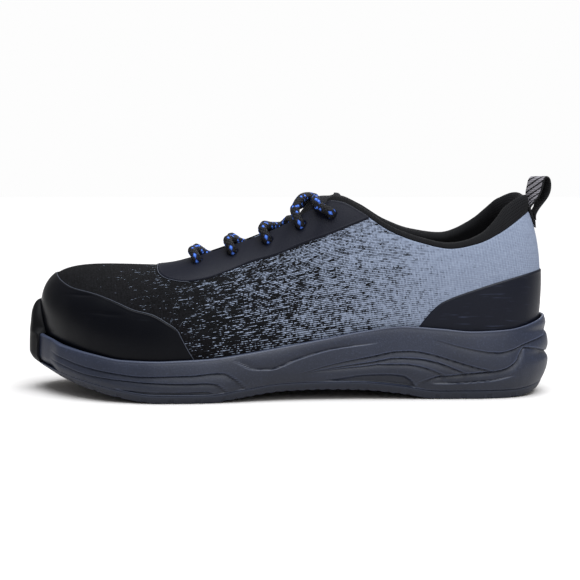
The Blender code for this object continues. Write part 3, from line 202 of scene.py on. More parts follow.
# %% Curves of the last
def through(table, at):
    """Smooth curve through a table's rows: cubic pieces that never overshoot a row."""
    rows = np.array(table, float)
    x, y = rows[:, 0], rows[:, 1:]
    at = np.asarray(at, float)
    step = np.diff(x)[:, None]
    rise = np.diff(y, axis=0) / step
    slope = np.zeros_like(y)
    same = rise[:-1] * rise[1:] > 0
    before, after = step[:-1], step[1:]
    mean = (2 * after + before) * rise[1:] + (after + 2 * before) * rise[:-1]
    inner = 3 * (before + after) * rise[:-1] * rise[1:]
    slope[1:-1] = np.where(same, inner / np.where(same, mean, 1.0), 0.0)
    slope[0], slope[-1] = rise[0], rise[-1]
    i = np.clip(np.searchsorted(x, at, side="right") - 1, 0, len(x) - 2)
    t = np.clip((at - x[i]) / step[i, 0], 0.0, 1.0)[..., None]
    left = y[i] * (1 + 2 * t) * (1 - t) ** 2 + slope[i] * step[i] * t * (1 - t) ** 2
    right = y[i + 1] * (3 - 2 * t) * t**2 + slope[i + 1] * step[i] * t**2 * (t - 1)
    return left + right


def closed_through(table, c):
    """The same curve for a table by column, mirrored at heel and toe so that it closes smoothly."""
    rows = np.array(table, float)
    before = rows[1:3][::-1].copy()
    before[:, 0] *= -1
    after = rows[-3:-1][::-1].copy()
    after[:, 0] = 2 - after[:, 0]
    return through(np.vstack([before, rows, after]), np.abs(c))


def ease(x):
    """Smooth step from 0 to 1: 3x^2 - 2x^3."""
    x = np.clip(x, 0.0, 1.0)
    return x * x * (3 - 2 * x)


def bell(x, width):
    """A soft hump of height 1: e to the power of -(x / width)^2."""
    return np.exp(-((x / width) ** 2))


def place(s, y, z):
    """World points from distance along the shoe, sideways place and height."""
    return np.stack(np.broadcast_arrays(HEEL_REST - s, y, z), axis=-1)


def wrapped(c):
    """Columns brought back between -1 and 1."""
    return (np.asarray(c, float) + 1) % 2 - 1


def half_outline(s):
    """Half width and sideways shift of the sole at distance s; squares make its ends round."""
    rows = np.array(PLAN, float)
    rows[:, 1] = rows[:, 1] ** 2
    value = through(rows, np.clip(s / LENGTH, 0.0, 1.0))
    return np.sqrt(np.maximum(value[..., 0], 0.0)) * BALL_WIDTH, value[..., 1] * BALL_WIDTH


def outline(c, inset=0.0):
    """Plan points (along, sideways) of the sole at each column, moved inwards by inset."""

    def on_edge(at):
        at = wrapped(at)
        s = LENGTH * (1 - np.cos(np.pi * np.abs(at))) / 2
        width, shift = half_outline(s)
        return np.stack([s, shift + np.sign(at) * width], axis=-1)

    near = 0.004
    c = np.asarray(c, float)
    along = on_edge(c + near) - on_edge(c - near)
    along /= np.linalg.norm(along, axis=-1, keepdims=True)
    outwards = np.stack([-along[..., 1], along[..., 0]], axis=-1)
    return on_edge(c) - outwards * np.asarray(inset)[..., None], outwards


def levels(c):
    """Underside, top of the side wall and footbed at each column."""
    value = through(SOLE_LEVELS, (1 - np.cos(np.pi * np.abs(wrapped(c)))) / 2)
    return value[..., 0], value[..., 1], value[..., 2]


def bumper_share(c):
    """1 where the toe bumper stands, fading to 0 a little beyond its sides."""
    plan, _ = outline(c)
    aside = np.abs(plan[..., 1] - PLAN[-1][2] * BALL_WIDTH) / (BUMPER_WIDTH / 2)
    return np.where(plan[..., 0] > 0.8 * LENGTH, ease((1.5 - aside) / 0.35), 0.0)


def wall_inset(c, h):
    """How far the side wall lies inside the greatest outline at column c and height share h."""
    at = np.abs(wrapped(c))
    heel, toe = ease(1 - at / 0.25), ease((at - 0.70) / 0.28)
    tuck = SIDE_TUCK + (HEEL_TUCK - SIDE_TUCK) * heel + (TOE_TUCK - SIDE_TUCK) * toe
    lip = LIP_TUCK + (TOE_LIP_TUCK - LIP_TUCK) * toe
    share = through(WALL_PROFILE, h)
    return tuck * share[..., 0] + lip * share[..., 1]


def foot_inset(c):
    """How far the upper's lower edge lies inside the sole's greatest outline."""
    at = np.abs(wrapped(c))
    toe, heel = ease((at - 0.72) / 0.2), ease(1 - at / 0.22)
    return UPPER_INSET + (TOE_INSET - UPPER_INSET) * toe + (HEEL_INSET - UPPER_INSET) * heel


def upper_point(c, v):
    """The outer surface of the upper: a cubic from the footbed (v 0) to the opening (v 1)."""
    c, v = np.broadcast_arrays(np.asarray(c, float), np.asarray(v, float))
    c = wrapped(c)
    plan, outwards = outline(c, foot_inset(c))
    start = place(plan[..., 0], plan[..., 1], levels(c)[2] + GAP)
    edge = closed_through(OPENING, c)
    height = np.where(c < 0, edge[..., 2], edge[..., 3])
    end = place(edge[..., 0] * LENGTH, np.sign(c) * edge[..., 1] * BALL_WIDTH, height)
    curve = closed_through(UPPER_CURVE, c)
    lean, slope = np.radians(curve[..., 0]), np.radians(curve[..., 2])
    chord = np.linalg.norm(end - start, axis=-1)
    out_x, out_y = -outwards[..., 0], outwards[..., 1]
    rise = np.stack([out_x * np.sin(lean), out_y * np.sin(lean), np.cos(lean)], axis=-1)
    away = start - end
    away[..., 2] = 0.0
    away /= np.maximum(np.linalg.norm(away, axis=-1, keepdims=True), 1e-6)
    outer = np.stack([out_x, out_y, np.zeros_like(out_x)], axis=-1)
    mix = ease((np.abs(c) - 0.30) / 0.25)[..., None]
    away = outer * (1 - mix) + away * mix
    away /= np.linalg.norm(away, axis=-1, keepdims=True)
    fall = away * np.cos(slope)[..., None]
    fall[..., 2] = -np.sin(slope)
    first = start + rise * (curve[..., 1] * chord)[..., None]
    second = end + fall * (curve[..., 3] * chord)[..., None]
    t = v[..., None]
    near = start * (1 - t) ** 3 + first * 3 * t * (1 - t) ** 2
    return near + second * 3 * t**2 * (1 - t) + end * t**3


def upper_normal(c, v):
    """Outward unit normal of the upper: the cross product of its two directions."""
    near = 0.002
    c, v = np.broadcast_arrays(np.asarray(c, float), np.asarray(v, float))
    low, high = np.clip(v - near, 0, 1), np.clip(v + near, 0, 1)
    round_ = upper_point(c + near, v) - upper_point(c - near, v)
    normal = np.cross(round_, upper_point(c, high) - upper_point(c, low))
    return normal / np.linalg.norm(normal, axis=-1, keepdims=True)


def upper_skin(c, v, lift=0.0):
    """The upper's surface moved outwards by lift, or inwards where it is negative."""
    return upper_point(c, v) + upper_normal(c, v) * np.asarray(lift)[..., None]


def row_below(c, edge, height):
    """The row in each column where the surface meets an edge drawn in the side view."""
    v = np.linspace(0, 1, 241)
    points = upper_point(np.asarray(c)[:, None], v[None, :])
    left = points[..., 2] - through(edge, (HEEL_REST - points[..., 0]) / LENGTH)[..., 0] * height
    k = np.clip(np.argmax(left >= 0, axis=1), 1, 240)
    n = np.arange(len(left))
    below, above = left[n, k - 1], left[n, k]
    met = v[k - 1] + (v[k] - v[k - 1]) * np.clip(below / (below - above - 1e-12), 0, 1)
    return np.where((left < 0).all(axis=1), 1.0, met)


def row_at_depth(c, depth):
    """The row in each column that lies depth below the opening, measured along the wall."""
    v = np.linspace(0, 1, 241)
    points = upper_point(np.asarray(c)[:, None], v[None, :])
    steps = np.linalg.norm(np.diff(points, axis=1), axis=-1)
    left = np.cumsum(steps[:, ::-1], axis=1)[:, ::-1]
    left = np.concatenate([left, np.zeros((len(left), 1))], axis=1)
    return np.array([np.interp(d, row[::-1], v[::-1]) for d, row in zip(depth, left)])


print("upper at the heel", np.round(upper_point(0.0, 1.0), 4))

# %% [markdown]
# ## Helpers
# Every piece is a grid of points with rows and columns. One function turns such a grid into a mesh:
# it joins the grid's sides where asked, closes open ends and turns the faces outwards. A few small
# helpers make a material and add nodes to it.

# %% From a grid to a mesh
def surface(name, points, finishes, uv=None, ring=False, tube=False, merge=False, pick=None):
    """A mesh over a grid of points (rows, columns, 3). ring joins the last column to the first and
    tube the last row to the first; a tube that isn't a ring gets a face at each end. pick gives the
    finish of each face. All faces are turned round where their closed volume comes out negative."""
    rows, columns = points.shape[:2]
    i, j = np.meshgrid(
        np.arange(rows if tube else rows - 1),
        np.arange(columns if ring else columns - 1),
        indexing="ij",
    )
    low, high, here, there = i, (i + 1) % rows, j, (j + 1) % columns
    corners = [low * columns + here, low * columns + there, high * columns + there]
    quads = np.stack(corners + [high * columns + here], -1).reshape(-1, 4)
    flat = points.reshape(-1, 3)
    a, b, c, d = (flat[quads[:, k]] - flat.mean(0) for k in range(4))
    turned = (a * (np.cross(b, c) + np.cross(c, d))).sum() < 0
    ends = []
    if tube and not ring:
        first = [int(k) for k in np.arange(rows) * columns]
        ends = [first, [k + columns - 1 for k in first][::-1]]
    wide = columns + ring
    chart = [i * wide + j, i * wide + j + 1, (i + 1) * wide + j + 1, (i + 1) * wide + j]
    chart = np.stack(chart, -1).reshape(-1, 4)
    if turned:
        quads, chart, ends = quads[:, ::-1], chart[:, ::-1], [end[::-1] for end in ends]
    mesh = bpy.data.meshes.new(name)
    mesh.from_pydata(flat.tolist(), [], quads.tolist() + ends)
    if uv is not None:
        spread = np.zeros((len(mesh.loops), 2))
        spread[: chart.size] = uv.reshape(-1, 2)[chart.ravel()]
        mesh.uv_layers.new(name="threads").data.foreach_set("uv", spread.ravel())
    for finish in finishes:
        mesh.materials.append(finish)
    if pick is not None:
        index = np.zeros(len(mesh.polygons), int)
        index[: len(quads)] = pick.ravel()[: len(quads)]
        mesh.polygons.foreach_set("material_index", index)
    if merge:
        work = bmesh.new()
        work.from_mesh(mesh)
        bmesh.ops.remove_doubles(work, verts=work.verts, dist=1e-6)
        bmesh.ops.dissolve_degenerate(work, edges=work.edges, dist=1e-6)
        work.to_mesh(mesh)
        work.free()
    mesh.shade_smooth()
    mesh.set_sharp_from_angle(angle=math.radians(62))
    thing = bpy.data.objects.new(name, mesh)
    bpy.context.scene.collection.objects.link(thing)
    print(name, len(mesh.polygons), "faces")
    return thing


def lengths(points, ring=False, tube=False):
    """Metres along the columns and the rows of a grid, as its UV map."""
    if ring:
        points = np.concatenate([points, points[:, :1]], axis=1)
    if tube:
        points = np.concatenate([points, points[:1]], axis=0)
    along = np.linalg.norm(np.diff(points, axis=1), axis=-1).mean(0)
    across = np.linalg.norm(np.diff(points, axis=0), axis=-1).mean(1)
    u = np.concatenate([[0], np.cumsum(along)])
    v = np.concatenate([[0], np.cumsum(across)])
    return np.stack(np.broadcast_arrays(u[None, :], v[:, None]), axis=-1)


def dress(thing, slot, *nodes):
    """Says what a piece rides on and which solids it stands for; slot, the finish it takes, is not used.
    """
    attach(thing, "root")
    if nodes:
        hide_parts(*nodes)
    return thing


# %% Materials from nodes
def linear(code):
    """An sRGB hex colour as linear values: v / 12.92 when dark, ((v + 0.055) / 1.055)^2.4 else."""
    v = np.array([int(code[k : k + 2], 16) for k in (1, 3, 5)]) / 255
    v = np.where(v < 0.04045, v / 12.92, ((v + 0.055) / 1.055) ** 2.4)
    return (*map(float, v), 1.0)


def node(tree, kind, inputs=None, out=0, stops=None, **settings):
    """Adds one node: settings are its own properties, inputs its sockets, each a value or another
    node's output, and stops a ramp's places and values. Returns one of its outputs."""
    made = tree.nodes.new("ShaderNode" + kind)
    for key, value in settings.items():
        setattr(made, key, value)
    for key, value in (inputs or {}).items():
        if isinstance(value, bpy.types.NodeSocket):
            tree.links.new(value, made.inputs[key])
        else:
            made.inputs[key].default_value = value
    for number, (at, value) in enumerate(stops or []):
        marks = made.color_ramp.elements
        mark = marks[number] if number < len(marks) else marks.new(at)
        mark.position = at
        mark.color = linear(value) if isinstance(value, str) else (value, value, value, 1.0)
    return made.outputs[out]


def calc(tree, operation, *values):
    """One sum on outputs or plain numbers, such as a product or a sine."""
    return node(tree, "Math", dict(enumerate(values)), operation=operation)


def finish(name, colour, roughness, **values):
    """A Principled material with plain values; its tree and its shader's inputs come with it."""
    made = bpy.data.materials.new(name)
    made.use_nodes = True
    inputs = made.node_tree.nodes["Principled BSDF"].inputs
    inputs["Base Color"].default_value = linear(colour)
    inputs["Roughness"].default_value = roughness
    for key, value in values.items():
        inputs[key.replace("_", " ")].default_value = value
    return made, made.node_tree, inputs


def blend(tree, factor, first, second):
    """Mixes two colours, given as hex values or outputs, by a factor."""
    pair = [linear(c) if isinstance(c, str) else c for c in (first, second)]
    return node(tree, "Mix", {0: factor, 6: pair[0], 7: pair[1]}, out=2, data_type="RGBA")


def sums(tree, *pairs):
    """Weighted sum of outputs: each pair is an output and its weight."""
    total = None
    for value, weight in pairs:
        addend = total if total is not None else 0.0
        settings = {0: value, 1: weight, 2: addend}
        total = node(tree, "Math", settings, operation="MULTIPLY_ADD")
    return total


def rough(tree, inputs, height, depth, strength=1.0):
    """Turns a height pattern into relief of the given depth in metres."""
    settings = {"Height": height, "Distance": depth, "Strength": strength}
    tree.links.new(node(tree, "Bump", settings), inputs["Normal"])


# %% [markdown]
# ## Knit
# The upper is knitted in one piece from two yarns, a light blue-grey and a black one. At the heel
# the light yarn covers all; towards the toe the black one takes over, through rows of broken
# dashes. A course is about 1.1 mm high and a stitch 0.85 mm wide, and both are cells of the piece's
# own UV map: every course draws its own line of noise, which gives dashes of one course in height
# that are fullest in its middle. A wide noise gathers them, and a threshold that falls towards the
# toe decides how many show.

# %% Knit material
COURSE, STITCH, WALE = 1.12 * MM, 0.85 * MM, 1.7 * MM
DASH, CLUSTER = 4.6 * MM, (15 * MM, 4.5 * MM)
COURSE_RISE = math.radians(7)
SHARE_ALONG, SHARE_AT_HEEL = (4.7, 0.0, 0.6), 1.60
LIGHT_YARN, LIGHT_SHADE, DARK_YARN, DARK_SHADE = "#8993a6", "#687184", "#040405", "#101013"


def knit_finish():
    """Two-colour knit: light where the dash noise lies under a threshold that falls to the toe."""
    made, tree, inputs = finish("polyester_yarn_knitted", LIGHT_YARN, 0.9, Specular_IOR_Level=0.1)
    threads = node(tree, "UVMap", uv_map="threads")
    laid = node(tree, "VectorRotate", {"Vector": threads, "Angle": COURSE_RISE}, rotation_type="Z_AXIS")
    along = node(tree, "SeparateXYZ", {0: laid}, out=0)
    up = node(tree, "SeparateXYZ", {0: laid}, out=1)
    spot = node(tree, "TexCoord", out=3)
    aside = node(tree, "SeparateXYZ", {0: spot}, out=1)
    side = calc(tree, "GREATER_THAN", aside, 0.0)
    side = calc(tree, "MULTIPLY", side, 37.3)
    course = calc(tree, "MULTIPLY", up, 1 / COURSE)
    course = calc(tree, "FLOOR", course)
    within = calc(tree, "SUBTRACT", sums(tree, (up, 1 / COURSE)), course)
    within = calc(tree, "SUBTRACT", within, 0.5)
    within = calc(tree, "ABSOLUTE", within)

    def noise(u, v, detail, shift):
        vector = node(tree, "CombineXYZ", {0: u, 1: v, 2: side})
        vector = node(tree, "VectorMath", {0: vector, 1: (shift, shift, shift)}, operation="ADD")
        settings = {"Vector": vector, "Scale": 1.0, "Detail": detail}
        return node(tree, "TexNoise", settings)

    def scaled(value, size):
        return calc(tree, "MULTIPLY", value, 1 / size)

    apart = calc(tree, "MULTIPLY", course, 7.31)
    streak = noise(scaled(along, DASH), apart, 1.0, 3.0)
    cluster = noise(scaled(along, CLUSTER[0]), scaled(up, CLUSTER[1]), 2.0, 23.0)
    cell_along = calc(tree, "FLOOR", scaled(along, STITCH))
    cell = node(tree, "CombineXYZ", {0: cell_along, 1: course, 2: side})
    cell = node(tree, "TexWhiteNoise", {"Vector": cell}, noise_dimensions="3D")
    total = sums(tree, (streak, 1.15), (cluster, 0.45), (cell, 0.38), (within, 1.1))
    slant = node(tree, "VectorMath", {0: spot, 1: SHARE_ALONG}, out=1, operation="DOT_PRODUCT")
    behind = node(tree, "MapRange", {0: slant, 1: -0.16, 2: 0.08, 4: 0.30})
    margin = sums(tree, (SHARE_AT_HEEL, 1.0), (slant, 1.0), (behind, 1.0), (total, -1.0))
    light = node(tree, "MapRange", {0: margin, 1: -0.03, 2: 0.03})
    rib = calc(tree, "SINE", scaled(along, WALE / (2 * math.pi)))
    shade = sums(tree, (rib, 0.12), (cell, 0.35), (cluster, 0.35), (within, 0.9))
    pale = blend(tree, shade, LIGHT_YARN, LIGHT_SHADE)
    dark = blend(tree, cell, DARK_YARN, DARK_SHADE)
    tree.links.new(blend(tree, light, dark, pale), inputs["Base Color"])
    height = sums(tree, (rib, 0.12), (cell, 0.3), (light, 0.35))
    rough(tree, inputs, height, 0.35 * MM, 0.8)
    return made


knit = knit_finish()
print("knit: course", COURSE, "m")

# %% [markdown]
# ## Films
# Toe cap, heel counter and eyestay are thin polyurethane films, pressed hot onto the knit. Such a
# film is nearly black and satin: a smooth skin with a soft sheen, fine grain, and a few light
# scuffs that run along the shoe.

# %% Film material
def film_finish(name, colour, scuffed, roughness, scuff_share, shine, grain=0.04):
    """Satin film: grain as fine noise, scuffs as noise drawn out along the shoe."""
    made, tree, inputs = finish(name, colour, roughness, Specular_IOR_Level=shine)
    threads = node(tree, "UVMap", uv_map="threads")
    drawn = node(tree, "Mapping", {"Vector": threads, "Scale": (45.0, 700.0, 1.0)})
    scuff = node(tree, "TexNoise", {"Vector": drawn, "Scale": 1.0, "Detail": 2.0, "Roughness": 0.6})
    scuff = node(tree, "ValToRGB", {0: scuff}, stops=[(scuff_share, 0.0), (scuff_share + 0.09, 1.0)])
    spot = node(tree, "TexCoord", out=3)
    fine = node(tree, "TexNoise", {"Vector": spot, "Scale": 1500.0, "Detail": 2.0})
    broad = node(tree, "TexNoise", {"Vector": spot, "Scale": 38.0, "Detail": 3.0})
    tree.links.new(blend(tree, scuff, colour, scuffed), inputs["Base Color"])
    gloss = sums(tree, (broad, 0.28), (scuff, 0.18), (1.0, roughness - 0.14))
    tree.links.new(gloss, inputs["Roughness"])
    rough(tree, inputs, sums(tree, (fine, 1.0), (broad, 0.6)), grain * MM)
    return made


toe_film = film_finish("polyurethane_film_toe", "#05060b", "#0f1118", 0.32, 0.68, 0.1)
heel_film = film_finish("polyurethane_film_heel", "#0e111c", "#262b3b", 0.45, 0.62, 0.15)
stay_film = film_finish("polyurethane_film_throat", "#0b0d19", "#151827", 0.5, 0.72, 0.13, 0.06)
print("films made")


# %% [markdown]
# ## Foam and rubber
# The cup is injected EVA foam: dark slate, dull, with a fine leathery grain from the mould and a touch
# of lighter dust on the edges that stand out. The tread is denser rubber of nearly the same slate,
# and the bumper over the toe is a black one. All three carry painted shade: their colour darkens in
# the hollows and towards the ground.

# %% Foam and rubber materials
def moulded_finish(name, colour, worn, roughness, grain_size, grain_depth, shine=0.35):
    """Moulded polymer: the mould's grain as noise, worn edges by pointiness, and painted shade in the
    hollows by pointiness and towards the ground.
    """
    made, tree, inputs = finish(name, colour, roughness, Specular_IOR_Level=shine)
    spot = node(tree, "TexCoord", out=3)
    grain = node(tree, "TexNoise", {"Vector": spot, "Scale": 1 / grain_size, "Detail": 3.0})
    broad = node(tree, "TexNoise", {"Vector": spot, "Scale": 26.0, "Detail": 4.0})
    edge = node(tree, "NewGeometry", out=7)
    edge = node(tree, "MapRange", {0: edge, 1: 0.505, 2: 0.56, 4: 0.55})
    speck = node(tree, "ValToRGB", {0: grain}, stops=[(0.55, 0.0), (0.72, 0.16)])
    wear = sums(tree, (edge, 1.0), (speck, 1.0), (broad, 0.25))
    # painted shade in the hollows: concave places, found by pointiness, darken the colour
    hollow = node(tree, "NewGeometry", out=7)
    hollow = node(tree, "MapRange", {0: hollow, 1: 0.43, 2: 0.495, 3: 0.8, 4: 0.0})
    # painted shade near the ground: the colour darkens below about 32 mm height
    height = node(tree, "SeparateXYZ", {0: spot}, out=2)
    height = node(tree, "MapRange", {0: height, 1: 0.006, 2: 0.032, 3: 0.5, 4: 0.0})
    painted_shade = calc(tree, "MAXIMUM", hollow, height)
    tint = blend(tree, wear, colour, worn)
    tree.links.new(blend(tree, painted_shade, tint, "#090b11"), inputs["Base Color"])
    gloss = sums(tree, (broad, 0.2), (1.0, roughness - 0.1))
    tree.links.new(gloss, inputs["Roughness"])
    rough(tree, inputs, grain, grain_depth)
    return made


foam = moulded_finish("eva_foam_injected", "#0f1320", "#4c5672", 0.46, 0.9 * MM, 0.10 * MM, 0.38)
rubber = moulded_finish("rubber_pressed", "#1c202e", "#3c445a", 0.55, 0.7 * MM, 0.06 * MM)
toe_rubber = moulded_finish("rubber_pressed_toe", "#050506", "#16171b", 0.6, 0.7 * MM, 0.06 * MM, 0.1)
print("foam and rubber made")

# %% [markdown]
# ## The moulded cup
# The side wall carries running lines like the folds of a thin sheet: most of them are steps, where
# the foam above stands over a hollow below, and one is the other way round. Each line is a short
# table of station, height and strength in millimetres. Across a line the wall drops at once and
# comes back slowly, which catches the light as the real steps do.

# %% Lines of the side wall
# distance from the heel's back, height, strength
STEPS_OVER = {
    "collar_of_the_heel": [
        (0, 37.3, 1.0), (3, 36.2, 1.0), (6.5, 33.4, 1.0), (13, 31.9, 1.0), (20, 29.8, 1.0),
        (27, 27.1, 1.0), (34, 25.9, 1.0), (38, 26.1, 0.9), (48, 27.6, 0.7), (59, 30.1, 0.45),
        (67, 32.5, 0.2), (72, 33.6, 0.0),
    ],
    "heel_clip": [
        (0, 23.7, 1.1), (7, 25.6, 0.9), (13, 27.4, 0.8), (19, 28.2, 0.9), (21.5, 25.5, 1.2),
        (24, 21.0, 1.3), (28, 18.0, 1.3), (33, 16.2, 1.3), (41, 15.3, 1.2), (52, 14.4, 1.1),
        (61, 13.4, 1.0), (67, 13.1, 1.0), (72, 11.7, 0.9), (77, 9.7, 0.7), (80, 6.9, 0.0),
    ],
    "wave_top": [
        (38, 15.5, 0.0), (42, 16.6, 0.9), (52, 19.3, 1.0), (62, 22.4, 1.0), (73, 25.6, 1.0),
        (83, 27.2, 1.0), (90, 27.0, 1.0), (105, 24.2, 1.0), (121, 21.2, 0.8), (132, 18.6, 0.6),
        (140, 16.3, 0.4), (146, 14.6, 0.0),
    ],
    "wave_middle": [
        (52, 14.4, 0.0), (56, 15.9, 0.8), (60, 17.5, 1.0), (69, 20.8, 1.0), (79, 22.8, 0.9),
        (90, 23.3, 0.9), (105, 21.1, 0.9), (121, 18.8, 0.7), (132, 17.0, 0.5), (143, 14.8, 0.0),
    ],
    "wave_low": [
        (64, 13.2, 0.0), (67, 14.6, 0.8), (70, 15.9, 1.0), (77, 18.3, 0.9), (86, 19.8, 0.9),
        (100, 19.8, 0.8), (106, 19.1, 0.7), (121, 17.6, 0.5), (134, 16.2, 0.0),
    ],
    "fore_top": [
        (172, 6.4, 0.0), (174, 8.2, 0.8), (180, 13.5, 1.0), (186, 16.5, 1.0), (191, 16.6, 1.0),
        (201, 15.7, 1.0), (216, 15.3, 0.9), (230, 15.1, 0.9), (245, 16.4, 0.9), (258, 18.1, 0.8),
        (278, 22.9, 0.6), (290, 26.6, 0.4), (302, 28.5, 0.4),
    ],
    "fore_middle": [
        (183, 5.0, 0.0), (186, 8.1, 0.9), (190, 10.7, 1.0), (196, 11.4, 1.0), (206, 11.2, 1.0),
        (221, 11.6, 0.9), (236, 12.4, 0.8), (260, 14.6, 0.6), (282, 20.2, 0.4), (302, 25.5, 0.3),
    ],
    "fore_low": [
        (190, 5.0, 0.0), (193, 6.2, 0.8), (196, 6.8, 1.0), (206, 6.5, 0.9), (221, 6.6, 0.8),
        (242, 7.6, 0.6), (259, 10.0, 0.4), (276, 14.0, 0.0),
    ],
}
STEPS_UNDER = {
    "waist_sweep": [
        (100, 32.0, 0.0), (106, 30.9, 0.3), (121, 29.1, 0.8), (132, 26.9, 1.0), (140, 24.6, 1.0),
        (148, 22.0, 1.0), (154, 19.4, 1.0), (160, 17.7, 1.0), (166, 17.8, 1.0), (171, 18.7, 0.9),
        (175, 20.8, 0.7), (180, 23.3, 0.0),
    ],
    "clip_ridge": [
        (24, 13.2, 0.0), (30, 11.9, 0.5), (38, 10.4, 0.8), (46, 9.8, 0.9), (56, 9.2, 0.8),
        (66, 9.1, 0.6), (72, 9.1, 0.0),
    ],
}
STEP_DEPTH = 1.5 * MM
STEP_EDGE = 0.40 * MM
STEP_REACH = 2.4 * MM
# distance from the heel's back, upper rim of the hollow, its depth
SCOOP = [
    (80, 7.5, 0.0),
    (83, 11.4, 0.9),
    (88, 14.1, 1.0),
    (97, 14.8, 0.9),
    (108, 14.5, 0.7),
    (124, 12.5, 0.5),
    (147, 10.2, 0.0),
]
SCOOP_DEPTH = 1.9 * MM
HEEL_NOTCH = 1.2 * MM
CLIP_RISE = 0.5 * MM


def step_relief(rows, s, z, over):
    """Drop at once and slow return below a line (over), or the same above it."""
    table = np.array(rows, float) * (MM, MM, 1.0)
    near = 0.5 * MM
    found = through(table, s)
    slope = (through(table, s + near)[..., 0] - through(table, s - near)[..., 0]) / (2 * near)
    off = (found[..., 0] - z) / np.sqrt(1 + slope**2) * (1 if over else -1)
    inside = (s >= table[0, 0]) & (s <= table[-1, 0])
    fall = ease(off / STEP_EDGE + 0.5) * np.exp(-np.maximum(off, 0) / STEP_REACH)
    return -STEP_DEPTH * np.where(inside, found[..., 1], 0.0) * fall


def cup_relief(s, z):
    """All the relief of the cup's side wall at distance s and height z."""
    relief = sum(step_relief(rows, s, z, True) for rows in STEPS_OVER.values())
    relief = relief + sum(step_relief(rows, s, z, False) for rows in STEPS_UNDER.values())
    rows = np.array(SCOOP, float) * (MM, MM, 1.0)
    rim = through(rows, s)
    inside = (s > rows[0, 0]) & (s < rows[-1, 0])
    hollow = ease((rim[..., 0] - z) / (1.6 * MM)) * ease((z - 4.5 * MM) / (3 * MM))
    relief = relief - SCOOP_DEPTH * np.where(inside, rim[..., 1], 0.0) * hollow
    heel = 1 - ease((s - 4 * MM) / (26 * MM))
    for height, width in ((23.6 * MM, 2.6 * MM), (36.6 * MM, 2.2 * MM)):
        relief = relief - HEEL_NOTCH * heel * bell(z - height, width)
    clip = ease((through(np.array(STEPS_OVER["heel_clip"]) * (MM, MM, 1), s)[..., 0] - z) / (5 * MM))
    clip = clip * ease((s - 12 * MM) / (12 * MM)) * (1 - ease((s - 66 * MM) / (16 * MM)))
    return relief + CLIP_RISE * clip


# %% The cup itself
CUP_COLUMNS, CUP_ROWS = 760, 100


def cup_grid():
    """Side wall, rounded lip, inner wall and underside as one closed skin."""
    c = -1 + 2 * np.arange(CUP_COLUMNS) / CUP_COLUMNS
    low, high, footbed = levels(c)
    foot = (OUTSOLE_THICKNESS + GAP) / (high - low)
    set_back = bumper_share(c) * (BUMPER_THICKNESS - BUMPER_PROUD + GAP)
    share = np.linspace(0, 1, CUP_ROWS)[:, None]
    lip = 1.1 * MM / (high - low)
    h = foot + (1 - lip - foot) * share
    z = low + (high - low) * h
    plan, _ = outline(c[None, :], wall_inset(c, h))
    s = plan[..., 0]
    fade = ease((z - low - OUTSOLE_THICKNESS - 0.3 * MM) / (0.8 * MM))
    relief = cup_relief(s, z) * fade * (1 - bumper_share(c))
    plan, _ = outline(c[None, :], wall_inset(c, h) - relief + set_back)
    wall = place(plan[..., 0], plan[..., 1], z)
    film = np.maximum(ease((np.abs(c) - 0.55) / 0.05), ease((0.43 - np.abs(c)) / 0.05))
    clear = GAP + film * (FILM + 2 * GAP)
    v = np.linspace(0, 0.6, 121)
    column = upper_point(c[:, None], v[None, :])[..., 2]
    rows = []
    for part in (1.0, 0.7, 0.45, 0.2, 0.0):
        level = footbed + (high - footbed) * part
        at = np.array([np.interp(a, b, v) for a, b in zip(level, column)])
        rows.append(upper_skin(c, at, clear))
    rows[-1][:, 2] = footbed
    outer, inner = wall[-1], rows[0]
    middle, half = (outer + inner) / 2, (outer - inner) / 2
    crown = []
    for turn in np.radians(np.arange(20, 181, 20)):
        arch = middle + half * math.cos(turn)
        arch[:, 2] = high - lip * (high - low) * (1 - math.sin(turn)) + 0.15 * MM * math.sin(turn)
        crown.append(arch)
    inner_rows = np.array(rows[1:])
    centre = place(plan[0, :, 0], through(PLAN, plan[0, :, 0] / LENGTH)[..., 1] * BALL_WIDTH, 0.0)
    across = []
    for ring_row, steps in ((rows[-1], (0.35, 0.7, 1.0)), (wall[0], (1.0, 0.7, 0.35))):
        for step in steps:
            inward = ring_row * (1 - step) + centre * step
            inward[:, 2] = ring_row[:, 2]
            across.append(inward)
    return np.concatenate([wall, crown, inner_rows, across])


cup_points = cup_grid()
cup = surface("midsole_cup", cup_points, [foam], ring=True, tube=True, merge=True)
dress(cup, "moulded_foam", "midsole")

# %% [markdown]
# ## Tread and toe bumper
# The tread is pressed rubber: chevron lugs with two long channels, plain ribs in the waist, and a
# tongue of the same rubber that wraps up over the toe. A height field over the sole's plan gives
# lugs with clean walls, because depth is just a function of place.

# %% Tread
TREAD_COLUMNS = 640
WAIST = (0.26 * LENGTH, 0.60 * LENGTH)
WAIST_PITCH = 5.6 * MM


def groove(distance, pitch, width, wall):
    """1 in grooves of a pitch and width along a distance, with sloped walls between them."""
    off = np.abs((distance / pitch + 0.5) % 1 - 0.5) * pitch
    return ease((width / 2 - off) / wall + 0.5)


def tread_depth(s, t):
    """Depth of the tread's pattern at distance s and share t across, from -1 to 1."""
    first = HEEL_REST - 2.5 * LUG_PITCH
    bent = s + CHEVRON * (1 - np.abs(t)) / 2
    waist = ease((s - WAIST[0]) / (4 * MM)) * ease((WAIST[1] - s) / (4 * MM))
    lugs = groove(bent - first, LUG_PITCH, LUG_GROOVE, 0.7 * MM) * (1 - waist)
    ribs = 0.4 * groove(s, WAIST_PITCH, 2.2 * MM, 0.7 * MM) * waist
    body = ease((s - 14 * MM) / (4 * MM)) * ease((LENGTH - 16 * MM - s) / (4 * MM))
    channel = ease((0.046 - np.abs(np.abs(t) - 0.42)) / 0.014)
    length = ease((s - 10 * MM) / (3 * MM)) * ease((LENGTH - 14 * MM - s) / (3 * MM))
    rim = 1 - 0.65 * ease((np.abs(t) - 0.90) / 0.10)
    return LUG_DEPTH * np.maximum(np.maximum(lugs, ribs) * body * rim, channel * length)


